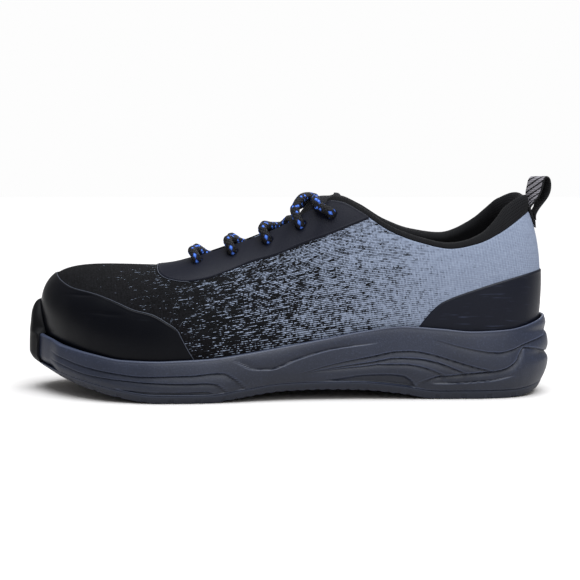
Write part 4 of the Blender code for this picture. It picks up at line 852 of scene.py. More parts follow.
def tread_grid():
    """Outer wall, tread, inner wall and top of the outsole as one closed skin."""
    column = np.linspace(0.006, 0.994, TREAD_COLUMNS)
    rows = []
    heights = np.linspace(1.0, 0.12, 8)
    t = np.concatenate([np.linspace(-1, -0.5, 36), np.linspace(-0.49, 0.49, 56), np.linspace(0.5, 1, 36)])
    low, high, _ = levels(column)
    s = LENGTH * (1 - np.cos(np.pi * column)) / 2
    edge_depth = [tread_depth(s, np.full_like(s, side)) for side in (-1.0, 1.0)]
    bulge = 0.25 * MM
    for side, order in ((-1, heights), (1, heights[::-1])):
        wall = []
        for share in order:
            z_up = OUTSOLE_THICKNESS * share
            notch = edge_depth[(side + 1) // 2] * 0.5 * (1 - ease((share - 0.45) / 0.3))
            inset = wall_inset(column, z_up / (high - low)) - bulge * np.sin(np.pi * share) + notch
            plan, _ = outline(side * column, inset)
            wall.append(place(plan[..., 0], plan[..., 1], low + z_up))
        rows.append(np.array(wall))
    inset = wall_inset(column, np.zeros_like(column)) + 0.35 * MM
    left, right = outline(-column, inset)[0], outline(column, inset)[0]
    share = ((t + 1) / 2)[:, None]
    plan = left[None] * (1 - share[..., None]) + right[None] * share[..., None]
    depth = tread_depth(plan[..., 0], t[:, None])
    bottom = place(plan[..., 0], plan[..., 1], low[None, :] + depth)
    top = []
    for part in (0.15, 0.85):
        across = rows[1][-1] * (1 - part) + rows[0][0] * part
        top.append(across)
    return np.concatenate([rows[0], bottom, rows[1], top])


tread = surface("outsole_tread", tread_grid(), [rubber], tube=True)
dress(tread, "rubber", "outsole")


# %% Toe bumper
def film_inset(c, level):
    """How far inside the greatest outline the toe cap's face stands at each column and height."""
    v = np.linspace(0.0, 0.6, 121)
    face = upper_skin(c[:, None], v[None, :], FILM_GAP + 0.5 * FILM)
    plan, outwards = outline(c)
    away = plan[:, None, :] - np.stack([HEEL_REST - face[..., 0], face[..., 1]], axis=-1)
    inset = (away * outwards[:, None, :]).sum(axis=-1)
    return np.array([np.interp(z, row, depth) for z, row, depth in zip(level, face[..., 2], inset)])


# columns to each side of the toe, roundness of the top edge, share of the height below that edge
BUMPER_SPREAD, BUMPER_ROUND, BUMPER_FACE = 0.096, 4.2 * MM, 0.78


def bumper_grid():
    """A shell that stands a little proud of the cup and leans on the cap with a round top edge."""
    c = np.linspace(1 - BUMPER_SPREAD, 1 + BUMPER_SPREAD, 241)
    low, high, _ = levels(c)
    away = np.abs(1 - c) / BUMPER_SPREAD
    share = 1 - away**3
    foot = low + 0.06 * (high - low)
    top = high - 1.5 * MM + (BUMPER_HEIGHT - high + 1.5 * MM) * share
    side = ease((away - 0.6) / 0.4)
    loops = []
    for t, draw, back in bumper_section():
        level = foot + (top - foot) * t
        h = np.clip((level - low) / (high - low), 0.0, 0.92)
        above = np.clip((level - high) / (BUMPER_HEIGHT - high), 0.0, 1.0)
        face = wall_inset(c, h) + BUMPER_LEAN * above - BUMPER_PROUD
        behind = np.where(level > high + 0.3 * MM, film_inset(c, level), face + BUMPER_THICKNESS)
        face = face + (1.0 * MM + (behind - face - 1.2 * MM) * ease(above / 0.2)) * side**1.5
        rim = np.maximum(behind - face, 0.3 * MM)
        inset = face + np.minimum(BUMPER_ROUND, 0.9 * rim) * draw * (1 - back) + rim * back
        plan, _ = outline(c, inset)
        loops.append(place(plan[:, 0], plan[:, 1], level))
    return np.array(loops)


def bumper_section():
    """Height share, how far the face draws back, and depth share round the bumper's section."""
    face = [(t, 0.0, 0.0) for t in np.linspace(0.0, BUMPER_FACE, 64)]
    turns = np.linspace(0.08, math.pi / 2, 16)
    edge = [(BUMPER_FACE + (1 - BUMPER_FACE) * math.sin(a), 1 - math.cos(a), 0.0) for a in turns]
    back = [(t, 1.0, 1.0) for t in np.linspace(0.995, 0.0, 16)]
    return face + edge + back


bumper = surface("toe_bumper", bumper_grid(), [toe_rubber], tube=True)
dress(bumper, "rubber", "outsole")

# %% [markdown]
# ## Knitted upper
# One skin goes up the outside, over a rounded edge and down the inside, which gets the black lining
# cloth. The UV map is in metres: along the shoe, and up from the sole, so the stitches keep their
# size all over.

# %% Mesh material
def mesh_finish(name, colour, thread, cell, depth):
    """Spacer mesh: rows of small round holes, every second row half a cell on."""
    made, tree, inputs = finish(name, colour, 0.9, Specular_IOR_Level=0.2)
    threads = node(tree, "UVMap", uv_map="threads")
    grid = node(tree, "Mapping", {"Vector": threads, "Scale": (1 / cell, 1 / cell, 1.0)})
    grid = node(tree, "VectorRotate", {"Vector": grid, "Angle": math.radians(45)}, rotation_type="Z_AXIS")
    waves = [node(tree, "SeparateXYZ", {0: grid}, out=k) for k in (0, 1)]
    waves = [calc(tree, "MULTIPLY", wave, 2 * math.pi) for wave in waves]
    waves = [calc(tree, "SINE", wave) for wave in waves]
    weave = calc(tree, "MULTIPLY", waves[0], waves[1])
    hole = node(tree, "MapRange", {0: weave, 1: 0.1, 2: 0.7})
    tree.links.new(blend(tree, hole, thread, colour), inputs["Base Color"])
    rough(tree, inputs, calc(tree, "SUBTRACT", 1.0, hole), depth)
    return made


lining = mesh_finish("polyester_spacer_mesh", "#020203", "#0e0e11", 1.5 * MM, 0.35 * MM)


# %% Upper
def cloth_uv(c, points):
    """Metres along the shoe, bent round the heel, and metres up the section from the sole."""
    fine = np.linspace(0, 0.3, 301)
    plan = outline(fine)[0]
    arc = np.concatenate([[0], np.cumsum(np.linalg.norm(np.diff(plan, axis=0), axis=-1))])
    bend = np.interp(np.abs(wrapped(c)), fine, arc - plan[:, 0])
    s = HEEL_REST - points[..., 0]
    width, shift = half_outline(s)
    return np.stack([s + bend, points[..., 2] + width - np.abs(points[..., 1] - shift)], axis=-1)


UPPER_COLUMNS, UPPER_ROWS, EDGE_SHARE = 560, 120, 0.012
# distance from the heel's back, height, reach along and up, depth of soft creases
CREASES = [
    (176, 44, 30, 2.2, -0.35),
    (188, 52, 26, 2.0, -0.30),
    (205, 60, 22, 2.2, 0.25),
    (118, 58, 34, 3.0, -0.25),
    (60, 62, 26, 3.2, -0.22),
]
# how deep and how wide the skins are drawn in round an eyelet
KNIT_DIP, KNIT_DIP_REACH = 2.2 * MM, 3.6 * MM
FILM_DIP, FILM_DIP_REACH = 2.0 * MM, 3.0 * MM


def eyelet_spots():
    """The middle of every eyelet."""
    c = np.array([side * column for side in (-1, 1) for column in EYELETS])
    return upper_point(c, row_at_depth(c, np.array(2 * SET_BACK)))


def eyelet_dip(points, depth, radius):
    """How far the skin is drawn in round each eyelet: a soft funnel."""
    dip = np.zeros(points.shape[:-1])
    for spot in eyelet_spots():
        away = np.linalg.norm(points - spot, axis=-1)
        dip = np.maximum(dip, ease((radius - away) / (0.5 * radius)))
    return dip * depth


def crease_relief(points):
    """Soft folds in the knit: long shallow humps and troughs."""
    s, z = HEEL_REST - points[..., 0], points[..., 2]
    relief = np.zeros_like(s)
    for at, height, reach, width, depth in CREASES:
        tilt = z - height * MM - 0.12 * (at * MM - s)
        relief = relief + depth * MM * bell(s - at * MM, reach * MM) * bell(tilt, width * MM)
    return relief


def upper_grid():
    """Outer skin, rounded edge and inner skin of the upper."""
    c = -1 + 2 * np.arange(UPPER_COLUMNS + 1) / UPPER_COLUMNS
    v = np.linspace(0.0, 1.0, UPPER_ROWS)[:, None]
    v = v * (1 - EDGE_SHARE)
    base = upper_point(c[None, :], v)
    normal = upper_normal(c[None, :], v)
    lift = crease_relief(base) - eyelet_dip(base, KNIT_DIP, KNIT_DIP_REACH)
    outer = base + normal * lift[..., None]
    top, out = upper_point(c, 1.0), upper_normal(c, 1.0)
    up = top - base[-1]
    edge = []
    for turn in np.radians(np.arange(30, 151, 24)):
        across = UPPER_WALL / 2 * (1 - math.cos(turn))
        edge.append(top - out * across - up * (1 - math.sin(turn)))
    inner = upper_skin(c[None, :], v[::-6], -UPPER_WALL)
    grid = np.concatenate([outer, edge, inner])
    uv = cloth_uv(c[None, :], grid)
    uv = np.concatenate([uv, uv[:1]])
    pick = np.zeros((len(grid), UPPER_COLUMNS), int)
    pick[len(outer) + 3 :] = 1
    return grid[:, :-1], uv, pick


points, uv, pick = upper_grid()
upper = surface("knitted_upper", points, [knit, lining], uv, ring=True, tube=True, pick=pick)
dress(upper, "knit", "upper")


# %% [markdown]
# ## Film pieces
# Each film lies on the knit's own surface. Its edge is rounded and carries a low bead, where the
# heat press squeezed the film out, and that bead is what shines as a thin light line.

# %% Film shells
FILM_LIFT = 0.7 * MM


def film_shell(name, c, low, high, edges, rows, finishes, relief=None):
    """Film between two rows in each column; edges says which of its two edges carry a bead."""
    t = np.linspace(0, 1, rows)[:, None]
    # rows crowd towards the edge that carries the bead
    t = t if edges != "top" else 1 - (1 - t) ** 1.35
    v = low[None, :] + (high - low)[None, :] * t
    base = upper_point(c[None, :], v)
    normal = upper_normal(c[None, :], v)
    run = np.linalg.norm(np.diff(base, axis=0), axis=-1)
    down = np.concatenate([np.zeros((1, len(c))), np.cumsum(run, axis=0)])
    away = np.full_like(down, 1.0)
    if edges in ("top", "both"):
        away = np.minimum(away, down[-1:] - down)
    if edges in ("bottom", "both"):
        away = np.minimum(away, down)
    body = 1 - 0.75 * bell(away, 0.5 * MM) + 0.12 * bell(away - 1.1 * MM, 0.5 * MM)
    lift = FILM_LIFT * body
    if relief is not None:
        lift = lift + relief(base)
    outer = base + normal * lift[..., None]
    inner = base[::-4] + normal[::-4] * 0.05 * MM
    grid = np.concatenate([outer, inner])
    uv = cloth_uv(c[None, :], grid)
    uv = np.concatenate([uv, uv[:1]])
    return surface(name, grid, finishes, uv, tube=True)


def film_columns(first, last, count, inside):
    """Columns from one tip of a film to the other."""
    fine = np.linspace(first, last, 2401)
    kept = fine[inside(wrapped(fine))]
    return np.linspace(kept[0], kept[-1], count)


# station, height by the toe's height
TOE_CAP_EDGE = [
    (0.640, 0.080), (0.667, 0.314), (0.678, 0.392), (0.688, 0.469), (0.698, 0.546),
    (0.717, 0.601), (0.743, 0.657), (0.777, 0.689), (0.808, 0.736), (0.843, 0.783),
    (0.865, 0.804), (0.902, 0.833), (0.929, 0.881), (0.943, 0.921), (0.970, 1.000),
]
# station, height by the heel's height
COUNTER_EDGE = [
    (0.000, 0.688), (0.016, 0.683), (0.085, 0.642), (0.158, 0.580), (0.205, 0.531),
    (0.219, 0.511), (0.235, 0.471), (0.259, 0.387), (0.285, 0.280), (0.330, 0.050),
]
# station, height by the instep's height
EYESTAY_EDGE = [
    (0.330, 0.942), (0.343, 0.917), (0.385, 0.868), (0.422, 0.827), (0.477, 0.772),
    (0.523, 0.720), (0.569, 0.685), (0.606, 0.644), (0.652, 0.603), (0.689, 0.590),
    (0.718, 0.600), (0.737, 0.622), (0.746, 0.658), (0.750, 0.740), (0.754, 0.960),
]
# distance from the heel's back, height, reach along and up, depth of small wrinkles
TOE_WRINKLES = [
    (266, 56.5, 7.0, 0.7, -0.35),
    (255, 47.8, 9.0, 0.8, -0.30),
    (248, 47.0, 6.0, 0.8, -0.25),
    (247, 55.0, 3.0, 0.6, -0.25),
    (272, 52.0, 5.0, 5.0, 0.30),
]


def wrinkle_relief(points):
    """Small dents of the toe film, given one by one."""
    s, z = HEEL_REST - points[..., 0], points[..., 2]
    relief = np.zeros_like(s)
    for at, height, reach, width, depth in TOE_WRINKLES:
        spot = bell(s - at * MM, reach * MM) * bell(z - height * MM, width * MM)
        relief = relief + depth * MM * spot
    return relief


cap_c = film_columns(0.58, 1.42, 320, lambda at: row_below(at, TOE_CAP_EDGE, TOE_HEIGHT) > 2 * FILM_FOOT)
cap_top = row_below(wrapped(cap_c), TOE_CAP_EDGE, TOE_HEIGHT)
foot = np.full_like(cap_c, FILM_FOOT)
cap = film_shell("toe_cap_film", cap_c, foot, cap_top, "top", 110, [toe_film], wrinkle_relief)
dress(cap, "film", "toe_cap")

c = film_columns(-0.42, 0.42, 260, lambda at: row_below(at, COUNTER_EDGE, HEEL_HEIGHT) > 2 * FILM_FOOT)
top = row_below(wrapped(c), COUNTER_EDGE, HEEL_HEIGHT)
counter = film_shell("heel_counter_film", c, np.full_like(c, FILM_FOOT), top, "top", 100, [heel_film])
dress(counter, "film", "heel_counter")


def stay_relief(points):
    """The film follows the funnels round the eyelets."""
    return -eyelet_dip(points, FILM_DIP, FILM_DIP_REACH)


c = film_columns(0.36, 1.64, 480, lambda at: row_below(at, EYESTAY_EDGE, INSTEP_HEIGHT) < 0.985)
low = row_below(wrapped(c), EYESTAY_EDGE, INSTEP_HEIGHT)
front = row_at_depth(wrapped(c), np.full_like(c, EYESTAY_FRONT))
low = np.where(np.abs(wrapped(c)) > 0.8, np.minimum(low, front), low)
stay = film_shell("eyestay_film", c, low, np.full_like(c, 1.0), "both", 70, [stay_film], stay_relief)
dress(stay, "film", "eyestay")

# %% [markdown]
# ## Padded collar
# The collar is foam under black spacer mesh. It rolls over the knit's edge, thin at the front and
# sides and thick round the heel, and goes a good way down inside. Its section is a round bolster
# on top of a pad that thins out downwards.

# %% Collar
COLLAR_END = 0.478
# column, share of the greatest rise
PAD_ROLL = [
    (0.00, 0.68), (0.05, 0.86), (0.10, 0.96), (0.15, 0.96), (0.20, 0.74),
    (0.23, 0.52), (0.27, 0.36), (0.32, 0.32), (0.50, 0.32), (1.00, 0.32),
]


def collar_grid():
    """Pad up the inside, bolster over the edge, and back down behind the pad."""
    c = np.linspace(-COLLAR_END, COLLAR_END, 420)
    at = np.abs(c)
    roll = closed_through(PAD_ROLL, c)[..., 0] * PAD_RISE
    front = ease((0.50 - at) / 0.16)
    thick = PAD_THICKNESS * (0.40 + 0.60 * front)
    depth = PAD_DEPTH * (0.45 + 0.55 * front)
    normal, top = upper_normal(c, 1.0), upper_point(c, 1.0)
    up = top - upper_point(c, 0.985)
    up /= np.linalg.norm(up, axis=-1, keepdims=True)
    steep = ease((0.17 - at) / 0.10)[:, None]
    up = up * (1 - steep) + np.array([0.10, 0.0, 1.0]) * steep
    inside = UPPER_WALL + SOLE_GAP
    width = inside + thick
    rows = []
    for share in np.linspace(1.0, 0.06, 26):
        body = 0.12 + 0.88 * ease((1.02 - share) / 0.75)
        rows.append(upper_skin(c, row_at_depth(c, depth * share), -inside - thick * body))
    for turn in np.radians(np.linspace(0, 180, 24)):
        fuller = 1 + 0.10 * math.sin(turn)
        out = -width / 2 - (width / 2 - 0.1 * MM) * math.cos(turn) * fuller
        lift = GAP + roll * math.sin(turn) ** 0.85 if 0 < turn < math.pi else GAP + 0 * roll
        rows.append(top + normal * out[:, None] + up * np.asarray(lift)[..., None])
    rows.append(top - normal * (inside - 0.1 * MM) + up * (GAP + 0.4 * MM))
    for share in (0.28, 0.62, 1.0):
        rows.append(upper_skin(c, row_at_depth(c, depth * share), -inside))
    return np.array(rows)


points = collar_grid()
collar = surface("collar_padding", points, [lining], lengths(points, tube=True), tube=True)
dress(collar, "lining_mesh", "collar_lining")


# %% [markdown]
# ## Tongue and insole
# The tongue is a soft padded strip of black air mesh, arched across the throat under both eyestays.
# It rises at its top, where the lace's last crossing lies on it. The insole is a foam board with
# cloth on top, dished at the heel.

# %% Tongue
TONGUE_ROWS = 150


def tongue_surface(c, t):
    """The tongue's outer face: under both eyestays and arched across the throat between them."""
    free = 1 - ease((c - 0.474) / 0.028)
    inside = UPPER_WALL + 2 * GAP + (0.8 * PAD_THICKNESS + GAP) * free
    wing = row_at_depth(c[:, 0], 0.0015 + TONGUE_WING * (1 - free[:, 0]))[:, None]
    v = 1.0 - (1.0 - wing) * np.clip((np.abs(t) - 0.5) / 0.5, 0, 1)
    beside = upper_skin(np.where(t < 0, -c, c), v, -inside * np.ones_like(t))
    left = upper_skin(-c, 1.0, -inside)
    right = upper_skin(c, 1.0, -inside)
    share = np.broadcast_to(t, v.shape)[..., None]
    between = left * (0.5 - share) + right * (0.5 + share)
    gap = np.linalg.norm(right - left, axis=-1) / 2
    lift = TONGUE_LIFT * ease((LIFT_START - c) / LIFT_RUN)
    between[..., 2] += (TONGUE_CROWN * gap + lift) * (1 - 4 * t * t)
    return np.where(np.abs(share) > 0.5, beside, between)


def tongue_grid():
    """Outer face, rounded sides and inner face of the tongue."""
    c = np.linspace(TONGUE_TOP, TONGUE_FRONT, TONGUE_ROWS)[:, None]
    t = np.linspace(-1, 1, 61)[None, :]
    outer = tongue_surface(c, t)
    along = np.gradient(outer, axis=0)
    across = np.gradient(outer, axis=1)
    down = np.cross(along, across)
    down /= np.linalg.norm(down, axis=-1, keepdims=True)
    down = np.where(down[..., 2:] < 0, down, -down)
    end = np.minimum(np.arange(TONGUE_ROWS), np.arange(TONGUE_ROWS)[::-1])[:, None]
    side = (1 - np.abs(t)) / 0.06
    puff = ease(np.minimum(end / 4.0, side))[..., None]
    top = outer + down * (0.5 * TONGUE_THICKNESS * (1 - puff) ** 2)
    below = outer + down * (TONGUE_THICKNESS * (0.5 + 0.5 * puff))
    grid = np.concatenate([top, below[:, ::-1]], axis=1)
    return np.swapaxes(grid, 0, 1)


points = tongue_grid()
tongue_mesh = mesh_finish("polyester_air_mesh", "#09090b", "#1e1e22", 1.5 * MM, 0.35 * MM)
tongue = surface("tongue_pad", points, [tongue_mesh], lengths(points, tube=True), tube=True)
dress(tongue, "knit", "tongue")


# %% Insole
HEEL_DISH = 1.2 * MM


def insole_grid():
    """Rings from the middle line to the edge on top, and back below."""
    c = -1 + 2 * np.arange(240) / 240
    low, high, footbed = levels(c)
    inset = foot_inset(c) + UPPER_WALL + 2 * GAP
    plan, _ = outline(c, inset)
    centre = through(PLAN, np.clip(plan[:, 0] / LENGTH, 0, 1))[..., 1] * BALL_WIDTH
    rows = []
    for share in np.linspace(0.0, 1.0, 22):
        y = centre + (plan[:, 1] - centre) * share
        heel = ease((90 * MM - plan[:, 0]) / (50 * MM))
        dish = HEEL_DISH * heel * share**4
        rows.append(place(plan[:, 0], y, footbed + GAP + INSOLE_THICKNESS + dish - 0.4 * MM * share**12))
    for share in (1.0, 0.5, 0.0):
        y = centre + (plan[:, 1] - centre) * share
        rows.append(place(plan[:, 0], y, footbed + GAP))
    return np.array(rows)


points = insole_grid()
insole = surface("insole_board", points, [lining], lengths(points, ring=True), ring=True, merge=True)
dress(insole, "lining_mesh", "insole")


# %% [markdown]
# ## Laces
# A round braided lace, 5 mm thick, black with blue tracer yarns that come up as short flecks. The
# flecks are cells of the braid in the lace's own UV map: along the lace and round it. Each strand
# comes up out of an eyelet, bends over the throat's edge and crosses the tongue. The lower rows go
# on below the opposite eyestay, and the top row ends in the top eyelets.

# %% Lace material
FLECK_SHARE = 0.15


def braid_finish():
    """Two sets of strands, left and right handed, and flecks in the cells where they cross."""
    made, tree, inputs = finish("polyester_braid", "#08080a", 0.75, Specular_IOR_Level=0.25)
    threads = node(tree, "UVMap", uv_map="threads")
    turn = node(tree, "SeparateXYZ", {0: threads}, out=1)
    run = node(tree, "SeparateXYZ", {0: threads}, out=0)
    around = calc(tree, "MULTIPLY", turn, BRAID_TURNS / (math.pi * LACE_DIAMETER))
    along = calc(tree, "MULTIPLY", run, 1 / BRAID_PITCH)
    left = calc(tree, "ADD", along, around)
    right = calc(tree, "SUBTRACT", along, around)
    cells = [calc(tree, "FLOOR", value) for value in (left, right)]
    cell = node(tree, "CombineXYZ", {0: cells[0], 1: cells[1]})
    chance = node(tree, "TexWhiteNoise", {"Vector": cell}, noise_dimensions="2D")
    fleck = calc(tree, "GREATER_THAN", chance, 1 - FLECK_SHARE)
    parts = [calc(tree, "FRACT", value) for value in (left, right)]
    humps = [calc(tree, "MULTIPLY", part, math.pi) for part in parts]
    humps = [calc(tree, "SINE", hump) for hump in humps]
    strand = calc(tree, "MULTIPLY", humps[0], humps[1])
    tint = blend(tree, strand, "#1a3a8c", "#5585e6")
    dark = blend(tree, strand, "#030304", "#15151a")
    tree.links.new(blend(tree, fleck, dark, tint), inputs["Base Color"])
    rough(tree, inputs, strand, 0.4 * MM)
    return made


braid = braid_finish()


# %% Lace routes
# how far each lower row of the lace sinks into the soft tongue
LACE_SINK = (-2.2 * MM, -2.4 * MM, 0.2 * MM)
# where a strand is highest, as a share of the way to the next eyelet, and by side in the top row
HIGH_SHARE, TOP_HIGH_SHARE = 0.35, {-1: 0.24, 1: 0.38}
# how much higher the top row's strands bow on their first stretch, and how much lower one lies
TOP_BOW, TOP_DROP = {-1: 3.2 * MM, 1: 0.3 * MM}, {-1: 0.0, 1: 0.4 * MM}
# where the top row turns down over the far edge, counted back from its eyelet
TURN_SHARE, TURN_DROP = 0.36, 0.4 * MM
# where a lower row leaves the tongue and where it stops below the eyestay
LEAVE_SHARE, STOP_SHARE, STOP_DEPTH = 0.62, 0.95, 5.0 * MM
HOLE_DEPTH, HOLE_RISE, EDGE_RISE = 1.2 * MM, 0.8 * MM, 0.4 * MM


def edge_column(s):
    """The column where the throat's edge stands at distance s."""
    rows = np.array(OPENING)
    rows = rows[rows[:, 0] > 0.4]
    return float(np.interp(s / LENGTH, rows[:, 1], rows[:, 0]))


def crown_point(column, t):
    """A point on the tongue between the throat's edges, t from -0.5 to 0.5."""
    return tongue_surface(np.array([[column]]), np.array([[t]]))[0, 0]


def eyelet(column, side):
    """Middle and outward normal of one eyelet."""
    c = np.array([side * column])
    v = row_at_depth(c, [SET_BACK[EYELETS.index(column)]])
    return upper_point(c, v)[0], upper_normal(c, v)[0]


def lace_route(number, side):
    """Points of the strand that leaves eyelet number on one side and crosses to the next row."""
    lift = LACE_DIAMETER / 2 + GAP
    over = FILM + FILM_GAP + lift
    here, there = EYELETS[number], EYELETS[number + 1]
    middle, normal = eyelet(here, side)
    start, end = HEEL_REST - middle[0], HEEL_REST - eyelet(there, side)[0][0]
    last = number == len(EYELETS) - 2

    def rim(s, way):
        return upper_skin(way * edge_column(s), 1.0, over + EDGE_RISE)

    share = TOP_HIGH_SHARE[side] if last else HIGH_SHARE
    top = crown_point(edge_column(start + share * (end - start)), 0.0)
    top = top + (0, 0, lift + (LACE_DIAMETER * 0.3 if side < 0 else 0.0))
    top = top + (0, 0, LACE_ARCH - TOP_DROP[side] if last else LACE_SINK[number])
    hole = middle - normal * HOLE_DEPTH
    route = [hole, middle + normal * (over - HOLE_RISE), rim(start + LACE_LEAN, side)]
    if last:
        route[-1] = route[-1] + (0, 0, 0.8 * MM)
        route += [route[-1] * 0.6 + top * 0.4 + (0, 0, TOP_BOW[side])]
    route += [top]
    if last:
        far, far_normal = eyelet(there, -side)
        turn = end + TURN_SHARE * (start - end)
        between = np.array([-side * edge_column((turn + end) / 2)])
        row = row_at_depth(between, [SET_BACK[-1] / 2])
        route += [rim(turn, -side) - (0, 0, TURN_DROP), upper_skin(between, row, over)[0]]
        route += [far + far_normal * (over - HOLE_RISE), far - far_normal * HOLE_DEPTH]
    else:
        leave = crown_point(edge_column(start + LEAVE_SHARE * (end - start)), -side * 0.20)
        under = np.array([-side * edge_column(start + STOP_SHARE * (end - start))])
        below = row_at_depth(under, [STOP_DEPTH])
        route += [leave + (0, 0, lift + LACE_SINK[number])]
        route += [upper_skin(under, below, -UPPER_WALL - lift)[0]]
    return np.array(route)


def smooth_route(route, steps):
    """A smooth curve through a route's points, the Catmull-Rom cubic between each two of them."""
    points = np.vstack([2 * route[0] - route[1], route, 2 * route[-1] - route[-2]])
    t = np.linspace(0, 1, steps, endpoint=False)[None, :, None]
    a, b, c, d = (points[k : len(points) - 3 + k][:, None] for k in range(4))
    square = (2 * a - 5 * b + 4 * c - d) * t**2
    found = 0.5 * (2 * b + (c - a) * t + square + (3 * b - 3 * c + d - a) * t**3)
    return np.vstack([found.reshape(-1, 3), route[-1:]])


def cord_grid(path, radius, sides):
    """Rings round a path, with a braid's low relief. Each ring's frame is the last one's, turned as
    little as possible."""
    along = np.gradient(path, axis=0)
    along /= np.linalg.norm(along, axis=-1, keepdims=True)
    across = np.cross(along[0], (0.3, 0.2, 1.0))
    frames = []
    for tangent in along:
        across = across - tangent * np.dot(across, tangent)
        across = across / np.linalg.norm(across)
        frames.append(across)
    across = np.array(frames)
    other = np.cross(along, across)
    angle = np.linspace(0, 2 * math.pi, sides, endpoint=False)[:, None, None]
    run = np.concatenate([[0], np.cumsum(np.linalg.norm(np.diff(path, axis=0), axis=-1))])
    around = angle[..., 0] / (2 * math.pi) * BRAID_TURNS
    pitch = run / BRAID_PITCH
    weave = np.sin(np.pi * (pitch + around)) * np.sin(np.pi * (pitch - around))
    thick = radius * (1 + 0.05 * weave[..., None])
    thick = thick * (0.25 + 0.75 * ease(np.minimum(run, run[-1] - run) / (1.0 * MM)))[None, :, None]
    return path[None] + (across[None] * np.cos(angle) + other[None] * np.sin(angle)) * thick


for number in range(len(EYELETS) - 1):
    for side in (-1, 1):
        path = smooth_route(lace_route(number, side), 20)
        points = cord_grid(path, LACE_DIAMETER / 2, 28)
        label = "lace_" + str(number + 1) + ("_outer" if side < 0 else "_inner")
        lace = surface(label, points, [braid], lengths(points, tube=True), tube=True)
        dress(lace, "lace_cord", "lace_crossing_" + str(number + 1))

# %% [markdown]
# ## Edges of the films
# Along the toe cap's rear edge and the front of the eyestay a hair-thin round line of lighter colour
# lies on the film: a painted highlight, where light would catch the film's edge.

# %% Film edges
# painted highlight: the light colour of these edge lines stands for light caught by the films' edges
painted_edge_highlight, _, _ = finish("polyurethane_film_edge_highlight", "#40444f", 0.5, Specular_IOR_Level=0.3)


def film_edge(name, c, v, node_name):
    """A thin round line on the upper, along row v of the columns c, coloured as a painted highlight."""
    path = upper_point(c, v) + upper_normal(c, v) * 0.28 * MM
    points = cord_grid(path, 0.20 * MM, 8)
    edge = surface(name, points, [painted_edge_highlight], lengths(points, tube=True), tube=True)
    dress(edge, "film", node_name)


film_edge("toe_cap_edge", cap_c, cap_top, "toe_cap")
c = np.linspace(0.67, 1.33, 320)
low = row_below(wrapped(c), EYESTAY_EDGE, INSTEP_HEIGHT)
front = row_at_depth(wrapped(c), np.full_like(c, EYESTAY_FRONT))
film_edge("eyestay_edge", c, np.minimum(low, front), "eyestay")

# %% [markdown]
# ## Pull loop
# A woven band, sewn to the heel with both ends. It is black, with light diagonal stripes on its
# outer face. The band keeps its width across the bend and twists as it rises, and its sewn ends
# bend round the heel.

# %% Pull loop
# backwards by the loop's reach, upwards by its rise, both from the heel's top edge
LOOP_PATH = [
    (0.10, 0.14), (0.23, 0.42), (0.34, 0.70), (0.41, 0.88), (0.54, 0.96), (0.68, 0.89),
    (0.73, 0.70), (0.67, 0.42), (0.57, 0.14), (0.36, -0.12),
]
# depth of the outer end, length over which both ends thin out, roundness of the heel below them
LOOP_OVER, LOOP_TAPER, HEEL_RADIUS = 7.0 * MM, 4.0 * MM, 18 * MM
STRIPE_RUN, STRIPE_WIDE, STRIPE_SHARE, LOOP_RIB = 3.6 * MM, 6.5 * MM, 0.66, 1.1 * MM


def webbing_finish():
    """Woven band: light diagonal stripes on the face that the UV map marks, ribs across it."""
    made, tree, inputs = finish("polyester_webbing", "#0a0a0b", 0.8, Specular_IOR_Level=0.25)
    threads = node(tree, "UVMap", uv_map="threads")
    run = node(tree, "SeparateXYZ", {0: threads}, out=0)
    wide = node(tree, "SeparateXYZ", {0: threads}, out=1)
    face = calc(tree, "LESS_THAN", wide, LOOP_WIDTH + LOOP_THICKNESS)
    slant = sums(tree, (run, 1 / STRIPE_RUN), (wide, 1 / STRIPE_WIDE))
    stripe = calc(tree, "FRACT", slant)
    stripe = calc(tree, "LESS_THAN", stripe, STRIPE_SHARE)
    stripe = calc(tree, "MULTIPLY", stripe, face)
    rib = calc(tree, "MULTIPLY", run, 2 * math.pi / LOOP_RIB)
    rib = calc(tree, "SINE", rib)
    shade = blend(tree, node(tree, "MapRange", {0: rib, 1: -1.0, 2: 1.0}), "#7f7c82", "#8f8c92")
    dark = blend(tree, node(tree, "MapRange", {0: rib, 1: -1.0, 2: 1.0}), "#040405", "#111114")
    tree.links.new(blend(tree, stripe, dark, shade), inputs["Base Color"])
    rough(tree, inputs, rib, 0.07 * MM)
    return made


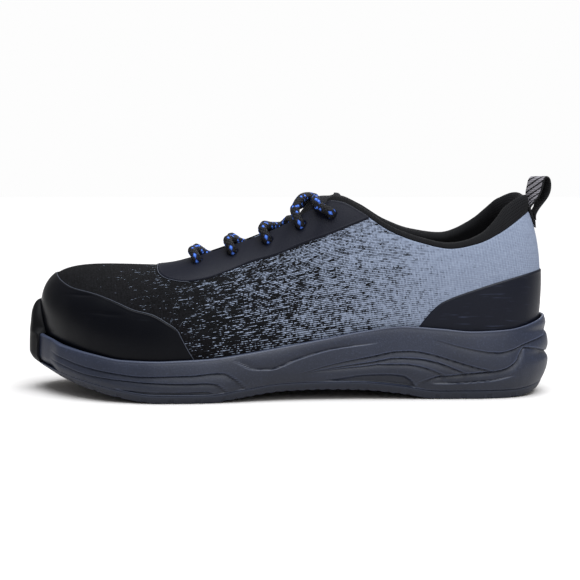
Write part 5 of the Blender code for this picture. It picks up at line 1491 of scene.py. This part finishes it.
def loop_grid():
    """A flat section with round edges, carried along the loop's path."""
    origin = upper_point(np.zeros(1), 1.0)[0]
    sewn = float(row_at_depth(np.zeros(1), [LOOP_SEWN])[0])
    step = GAP + LOOP_THICKNESS / 2
    under = [upper_skin(0.0, v, step) for v in np.linspace(sewn, 1.0, 3)]
    over = [upper_skin(0.0, v, step + LOOP_THICKNESS) for v in row_at_depth(np.zeros(1), [LOOP_OVER])]
    free = [origin + np.array([back * LOOP_REACH, 0.0, up * LOOP_RISE]) for back, up in LOOP_PATH]
    path = smooth_route(np.array(under + free + over), 14)
    along = np.gradient(path, axis=0)
    along /= np.linalg.norm(along, axis=-1, keepdims=True)
    twist = np.radians(LOOP_TWIST) * ease((path[:, 2] - origin[2]) / 0.012)
    width = np.stack([-np.sin(twist), np.cos(twist), np.zeros_like(twist)], axis=-1)
    face = np.cross(along, width)
    face /= np.linalg.norm(face, axis=-1, keepdims=True)
    half, thick = LOOP_WIDTH / 2, LOOP_THICKNESS / 2
    flat = np.linspace(-1, 1, 21)
    round_ = np.radians(np.linspace(-60, 60, 5))
    edge = (half - thick) + thick * np.cos(round_)
    section = [(x * (half - thick), thick) for x in flat]
    section += [(x, -thick * math.sin(a)) for x, a in zip(edge, round_)]
    section += [(-x * (half - thick), -thick) for x in flat]
    section += [(-x, thick * math.sin(a)) for x, a in zip(edge, round_)]
    run = np.concatenate([[0], np.cumsum(np.linalg.norm(np.diff(path, axis=0), axis=-1))])
    thin = (0.05 + 0.95 * ease(np.minimum(run, run[-1] - run) / LOOP_TAPER))[:, None]
    hug = 1 - ease((path[:, 2:] - origin[2]) / (8 * MM))
    hug = hug * np.array([-1.0, 0.0, 0.0]) / (2 * HEEL_RADIUS)
    return np.array([path + width * x + face * y * thin + hug * x * x for x, y in section])


webbing = webbing_finish()
points = loop_grid()
loop = surface("heel_pull_loop", points, [webbing], lengths(points, tube=True), tube=True)
dress(loop, "webbing", "pull_loop")

# %% [markdown]
# ## Floor and light
# The photograph has a white ground and soft light from above. A very wide sun, like a skylight,
# does the same over the whole floor, and two weak lamps in front and behind open up the shadows.

# %% Stage
FLOOR_REACH = 40.0
corner = FLOOR_REACH / 2
floor_points = np.array(
    [[(-corner, -corner, 0.0), (corner, -corner, 0.0)], [(-corner, corner, 0.0), (corner, corner, 0.0)]]
)
paint, tree, inputs = finish("matt_pale_paper", "#cfccca", 0.9, Specular_IOR_Level=0.0)
speck = node(tree, "TexNoise", {"Vector": node(tree, "TexCoord", out=3), "Scale": 220.0})
rough(tree, inputs, speck, 0.05 * MM)
floor = surface("studio_floor", floor_points, [paint])

world = bpy.data.worlds.new("studio")
world.use_nodes = True
sky = world.node_tree.nodes["Background"]
sky.inputs[0].default_value = linear("#fdfdfd")
seen = node(world.node_tree, "LightPath")
level = node(world.node_tree, "MapRange", {0: seen, 3: 0.30, 4: 1.0})
world.node_tree.links.new(level, sky.inputs[1])
bpy.context.scene.world = world
bpy.context.scene.view_settings.view_transform = "Standard"


def lamp(name, spot, target, size, power):
    """A square soft box that looks at a point."""
    light = bpy.data.lights.new(name, "AREA")
    light.shape = "SQUARE"
    light.size = size
    light.energy = power
    thing = bpy.data.objects.new(name, light)
    thing.location = spot
    thing.rotation_euler = (Vector(target) - Vector(spot)).to_track_quat("-Z", "Y").to_euler()
    bpy.context.scene.collection.objects.link(thing)


lamp("front", (0.35, -1.2, 0.75), (-0.1, 0.0, 0.05), 0.8, 5.0)
lamp("behind", (0.25, 0.9, 0.8), (-0.1, 0.0, 0.06), 0.7, 5.0)
skylight = bpy.data.lights.new("skylight", "SUN")
skylight.energy = 4.8
skylight.color = (0.93, 0.965, 1.0)
skylight.angle = math.radians(60)
thing = bpy.data.objects.new("skylight", skylight)
thing.rotation_euler = (math.radians(12), math.radians(6), 0.0)
bpy.context.scene.collection.objects.link(thing)
print("studio lit")

# %% [markdown]
# ## Last update
# The view layer is brought up to date.

# %% Last update
bpy.context.view_layer.update()
